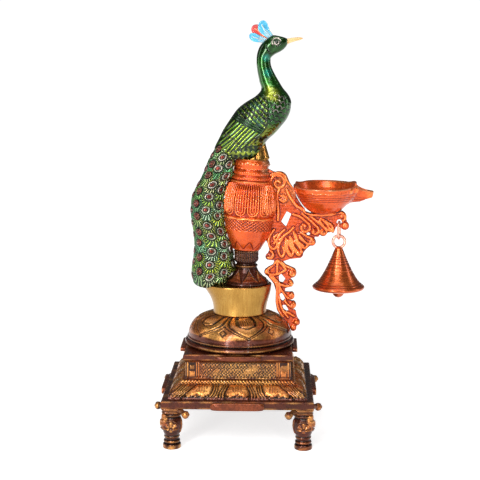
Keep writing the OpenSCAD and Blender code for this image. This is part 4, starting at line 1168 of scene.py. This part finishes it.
def make_bowl():
    z0 = 193.6
    rim_r = [(0, 42.2), (2, 42.0), (3.8, 40.4), (5.6, 36.4), (8, 32.2), (11, 29.6), (15, 29.2), (20, 30.2),
             (25, 30.2), (30, 28.9), (36, 27.4), (44, 27), (120, 27), (146, 27.3), (152, 28.0), (158, 27.2),
             (180, 27)]
    rim_z = [(0, 19.0), (3.8, 19.2), (6, 20.2), (9, 22.0), (13, 23.8), (20, 25.2), (26, 25.3), (33, 24.4),
             (44, 24.2), (120, 24.2), (146, 24.3), (152, 24.9), (158, 24.2), (180, 24)]
    a = np.concatenate([np.linspace(-180, -48, 110), np.linspace(-47, 47, 260),
            np.linspace(48, 180, 110)[:-1]])
    turn = np.abs(a)
    edge_r, edge_z = curve(turn, rim_r), curve(turn, rim_z)
    # share of the way to the rim, height share, wall offset; outside from the foot up, then inside back down
    outer = profile([(0.02, 0.0), (0.355, 0.0), (0.42, 0.018), (0.48, 0.05), (0.563, 0.115), (0.67, 0.23),
                     (0.775, 0.385), (0.87, 0.557), (0.94, 0.73), (0.972, 0.82), (0.99, 0.90), (1.0, 0.965),
                     (0.995, 0.99)], 110)
    inner = profile([(0.975, 1.0), (0.94, 0.985), (0.92, 0.95), (0.89, 0.88), (0.84, 0.76), (0.78, 0.66),
                     (0.72, 0.57), (0.62, 0.43), (0.47, 0.285), (0.36, 0.215), (0.28, 0.19), (0.14, 0.185),
                     (0.02, 0.18)], 90)
    side = np.vstack([outer, inner])
    out = np.arange(len(side)) < len(outer)
    share = side[:, 0][None]
    level = side[:, 1][None]
    grow = ease(share, 0.62, 1.0) ** 1.4
    r = share * 27.0 + grow * (edge_r[:, None] - 27.0)
    z = level * 24.4 + ease(level, 0.55, 1.0) * (edge_z[:, None] - 24.4)
    spout = 1 - ease(turn, 8, 27)[:, None]
    z = z - 3.3 * spout * out[None] * ease(share, 0.74, 0.88) * (1 - ease(level, 0.80, 0.97))
    wall = 1.0 - 0.051 * ease(-turn, -9, -3)[:, None] * (~out)[None] * ease(share, 0.7, 0.95)
    rad = np.radians(a)[:, None]
    tilt = 0.068 * r * np.sin(rad) * ease(level, 0.25, 1.0)
    p = points(BOWL_X + r * wall * np.cos(rad), r * wall * np.sin(rad), z0 + z + tilt)
    n = grid_normals(p, True, False)
    zz = np.broadcast_to(level * 24.4, r.shape)
    outm = np.broadcast_to(out[None], r.shape)
    fade = ease(turn, 30, 48)[:, None]
    grooves = most(*[stroke(zz - k, 0.5) for k in (11.4, 13.4, 15.2)]) * outm
    wave = stroke(zz - (19.6 + 0.8 * np.cos(rad * 15)), 0.9) * outm
    lobes = stroke(zz - 20.6, 3.0) * outm * (0.5 + 0.5 * np.cos(rad * 30)) * stroke(turn - 30, 17)[:, None]
    rim = stroke(zz - 23.6, 1.0)
    height = -0.35 * grooves + 0.28 * wave * fade + 1.2 * lobes + 0.08 * wobble(p, 5, 1)
    p = p + n * height[..., None]
    worn_rim = rim * outm * (0.5 + 0.5 * wobble(p, 6, 3))
    relief = 0.62 - 0.5 * grooves - 0.25 * stroke(zz - 18.2, 0.8) * outm + 0.2 * wave * fade - 0.35 * worn_rim
    rub = np.maximum(0.7 * lobes, ease(r, 35, 40) * 0.55)
    piece("oil_bowl", p, {"relief": relief, "rub": rub,
            "bare": 0.95 * rim * (0.75 + 0.5 * wobble(p, 4, 2))}, COPPER, "copper_lacquer", "bowl")


def make_screw():
    side = profile([(0.4, 187.1), (1.45, 187.1), (1.45, 198.0), (3.8, 198.1), (3.8, 198.5), (3.4, 199.4),
                    (2.2, 200.1), (0.9, 200.35), (0.02, 200.4)], 60)

    def lift(t, r, h):
        slot = stroke(r * np.sin(t + 0.5), 0.6) * (h > 199.2)
        return -0.55 * slot - 0.12 * np.cos((h - t / TAU * 0.8) * 2 * PI / 0.8) * (h < 197.6)

    p, t, r, h, rel = revolve(side, 72, lift, (BOWL_X, 0, 0))
    piece("bowl_screw_turned", p, {"relief": 0.6 + rel, "rub": 0 * rel}, COPPER, "copper_lacquer",
          "bowl_screw")


# ---------------------------------------------------------------- bell
BELL_X = 86.5


def make_bell():
    side = profile([(0.02, 158), (3.4, 157.4), (4.6, 153.6), (7.2, 147.8), (10.8, 140.6), (14.2, 134.8),
                    (18.7, 129.6), (20.3, 126.0), (20.7, 126.0), (22.3, 126.8), (22.85, 127.9),
                    (22.75, 128.7), (21.7, 129.8), (20.2, 131.0), (18.5, 132.5), (16.9, 134.4),
                    (15.3, 136.8), (13.9, 139.2), (12.6, 141.4), (11.6, 143.3), (10.7, 145.2), (9.8, 147.0),
                    (9.0, 148.8), (8.2, 150.7), (7.2, 152.8), (6.2, 155.2), (5.2, 157.6), (4.3, 159.8),
                    (3.5, 161.6), (3.35, 162.3), (3.0, 162.7), (2.5, 163.0), (2.2, 163.5), (1.6, 163.8),
                    (0.02, 163.8)], 300)

    def lift(t, r, h):
        outside = r > np.interp(h, [126, 129.6, 134.8, 140.6, 147.8, 153.6, 158],
                [20.5, 19.2, 14.8, 11.4, 7.8, 5.2, 2.5])
        cut = most(*[stroke(h - k, w) for k, w in ((130.4, 0.45), (132.0, 0.35), (149.6, 0.45),
                (151.6, 0.35), (153.6, 0.45), (155.4, 0.35), (146.6, 0.35))])
        fine = np.cos(h * 2 * PI / 0.95)
        return outside * (-0.22 * cut + 0.03 * fine)

    p, t, r, h, rel = revolve(side, 200, lift, (BELL_X, 0, 0))
    lip = stroke(h - 128.2, 1.4)
    piece("bell_turned", p, {"relief": 0.62 + 2.0 * rel - 0.2 * lip, "rub": 0.2 * lip}, TURNED,
          "copper_lacquer", "bell", body="bell")


def wire(name, line, radius, material, body, slot, closed=True, nodes=(), sides=22):
    q = tube(line, radius, sides, closed)
    shade = np.broadcast_to(np.cos(angles(sides))[:, None], q.shape[:2])
    masks = {"relief": 0.6 + 0.15 * shade + 0.1 * wobble(q, 3.0, 1.0), "rub": 0.35
             + 0.3 * wobble(q, 2.2, 2.0)}
    piece(name, q, masks, material, slot, *nodes, body=body, closed=closed)


def make_hanging():
    a = angles(120)
    ring = np.stack([BELL_X + 5.2 * np.cos(a), 0 * a, 168 + 5.2 * np.sin(a)], axis=1)
    wire("bell_ring_wire", ring, 1.25, ROSE, "bell", "copper_lacquer", nodes=("bell_ring",))
    # oval link: two half circles and two straight sides, turned a little about the vertical
    half, low, high = 3.9, 170.65, 185.4
    b = np.linspace(0, PI, 40)
    top = np.stack([half * np.cos(b), high - half + half * np.sin(b)], axis=1)
    foot = np.stack([-half * np.cos(b), low + half - half * np.sin(b)], axis=1)
    left = np.stack([np.full(20, -half), np.linspace(high - half, low + half, 22)[1:-1]], axis=1)
    right = np.stack([np.full(20, half), np.linspace(low + half, high - half, 22)[1:-1]], axis=1)
    oval = np.vstack([top, left, foot, right])
    spin = math.radians(14)
    link = np.stack([BELL_X + oval[:, 0] * math.sin(spin), oval[:, 0] * math.cos(spin), oval[:, 1]], axis=1)
    wire("link_wire", link, 1.0, ROSE, "link", "copper_lacquer", nodes=("link",), sides=18)
    c = np.linspace(0, PI, 40)
    hoop = np.stack([0 * c, 1.9 * np.cos(c), 154.4 - 1.9 * np.sin(c)], axis=1)
    up = np.linspace(158.2, 154.6, 14)
    staple = np.vstack([np.stack([0 * up, 0 * up + 1.9, up], 1), hoop,
            np.stack([0 * up, 0 * up - 1.9, up[::-1]], 1)])
    wire("clapper_staple_wire", staple + [BELL_X, 0, 0], 0.6, STEEL, "bell", "steel", closed=False,
         nodes=("clapper_staple",))
    eye = np.stack([BELL_X + 1.7 * np.cos(a), 0 * a, 152.5 + 1.7 * np.sin(a)], axis=1)
    wire("clapper_eye", eye, 0.68, TURNED, "clapper", "copper_lacquer")
    side = profile([(0.02, 118.55), (1.4, 118.7), (3.0, 119.4), (4.4, 120.7), (5.3, 122.6), (5.5, 124.2),
                    (5.1, 126.0), (4.1, 127.7), (2.8, 128.8), (1.6, 129.4), (0.95, 129.9), (0.9, 150.6),
                    (0.7, 151.0), (0.02, 151.0)], 110)

    def lift(t, r, h):
        return -0.12 * stroke(h - 124.2, 0.5) + 0.03 * np.cos(h * 8)

    p, t, r, h, rel = revolve(side, 72, lift, (BELL_X, 0, 0))
    piece("clapper_turned", p, {"relief": 0.5 + 2 * rel, "rub": 0 * rel}, TURNED, "copper_lacquer",
          "clapper", body="clapper")


# ---------------------------------------------------------------- hidden hardware keeps its CAD shape
for part in ("tie_rod", "tie_washer", "tie_nut"):
    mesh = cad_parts[part].data
    mesh.materials.clear()
    mesh.materials.append(STEEL)


# ---------------------------------------------------------------- everything together
make_plinth()
for leg_name, leg_sx, leg_sy in (("leg_front_left", -1, -1), ("leg_front_right", 1, -1),
        ("leg_back_left", -1, 1), ("leg_back_right", 1, 1)):
    make_leg(leg_name + "_turned", leg_sx, leg_sy)
make_dome()
make_collar()
make_stem()
make_vase()
make_perch()
make_tail()
make_body()
make_crest()
make_bracket()
make_bowl()
make_screw()
make_bell()
make_hanging()


# ---------------------------------------------------------------- studio
def studio_material():
    """White floor, a little dimmer round the lamp so that its soft shadow shows."""
    mat, nt, bsdf = shader("studio_white")
    coords = node(nt, "ShaderNodeTexCoord").outputs["Object"]
    away = node(nt, "ShaderNodeVectorMath", {0: coords}, operation="LENGTH").outputs["Value"]
    set_inputs(nt, bsdf, base=(0.63, 0.63, 0.63), rough=0.85, spec=0.1)
    bsdf.inputs["Emission Color"].default_value = (1, 1, 1, 1)
    nt.links.new(remap(nt, away, 0.3, 1.3, 0.72, 1.05), bsdf.inputs["Emission Strength"])
    return mat


def make_stage():
    a = np.linspace(-9000.0, 9000.0, 5)
    x, y = np.meshgrid(a, a, indexing="ij")
    add_grid("studio_floor", points(x, y, 0 * x), False, False, {}, studio_material())


def soft_light(name, place, aim_height, width, height, power):
    data = bpy.data.lights.new(name, "AREA")
    data.shape, data.size, data.size_y = "RECTANGLE", width, height
    data.energy = power
    ob = bpy.data.objects.new(name, data)
    ob.location = place
    ob.rotation_euler = (Vector((0, 0, aim_height)) - Vector(place)).to_track_quat("-Z", "Y").to_euler()
    bpy.context.scene.collection.objects.link(ob)


# name, place, height it aims at, width, height, watts
LIGHTS = [("key_left", (-0.42, -0.90, 0.42), 0.20, 0.14, 0.85, 8.0),
          ("key_right", (0.36, -0.92, 0.40), 0.20, 0.06, 0.80, 2.6),
          ("front", (-0.15, -1.15, 1.05), 0.18, 0.7, 0.5, 6.0),
          ("side_left", (-1.10, -0.10, 0.50), 0.18, 0.30, 1.0, 2.6),
          ("side_right", (1.15, 0.05, 0.50), 0.18, 0.25, 1.0, 1.9),
          ("overhead", (0.0, -0.10, 1.35), 0.10, 0.9, 0.9, 5.0)]
FILL_STRENGTH = 0.10
BACKDROP_STRENGTH = 1.05


def make_world():
    """The backdrop is white to the camera and dim as a light."""
    world = bpy.data.worlds.new("studio_world")
    bpy.context.scene.world = world
    world.use_nodes = True
    nt = world.node_tree
    white = (1, 1, 1, 1)
    fill = nt.nodes["Background"]
    fill.inputs["Color"].default_value = white
    fill.inputs["Strength"].default_value = FILL_STRENGTH
    backdrop = node(nt, "ShaderNodeBackground", {"Color": white, "Strength": BACKDROP_STRENGTH})
    seen = node(nt, "ShaderNodeLightPath").outputs["Is Camera Ray"]
    mixed = node(nt, "ShaderNodeMixShader", {0: seen, 1: fill.outputs[0], 2: backdrop.outputs[0]})
    nt.links.new(mixed.outputs[0], nt.nodes["World Output"].inputs["Surface"])


# how far the camera stands back, its height, and its turn about the lamp and dip below level
CAMERA_BACK = 0.9402
CAMERA_HEIGHT = 0.3152
CAMERA_RIGHT = 0.0004
CAMERA_TURN = math.radians(1.8)
CAMERA_DIP = math.radians(8.84)


def make_camera():
    data = bpy.data.cameras.new("camera")
    data.lens = 81.8
    data.sensor_width = 36
    ob = bpy.data.objects.new("camera", data)
    ob.location = (CAMERA_RIGHT + CAMERA_BACK * math.sin(CAMERA_TURN), -CAMERA_BACK * math.cos(CAMERA_TURN),
                   CAMERA_HEIGHT)
    ob.rotation_euler = (PI / 2 - CAMERA_DIP, 0, CAMERA_TURN)
    bpy.context.scene.collection.objects.link(ob)
    bpy.context.scene.camera = ob


make_stage()
for light in LIGHTS:
    soft_light(*light)
make_world()
make_camera()
bpy.context.scene.view_settings.view_transform = "Standard"
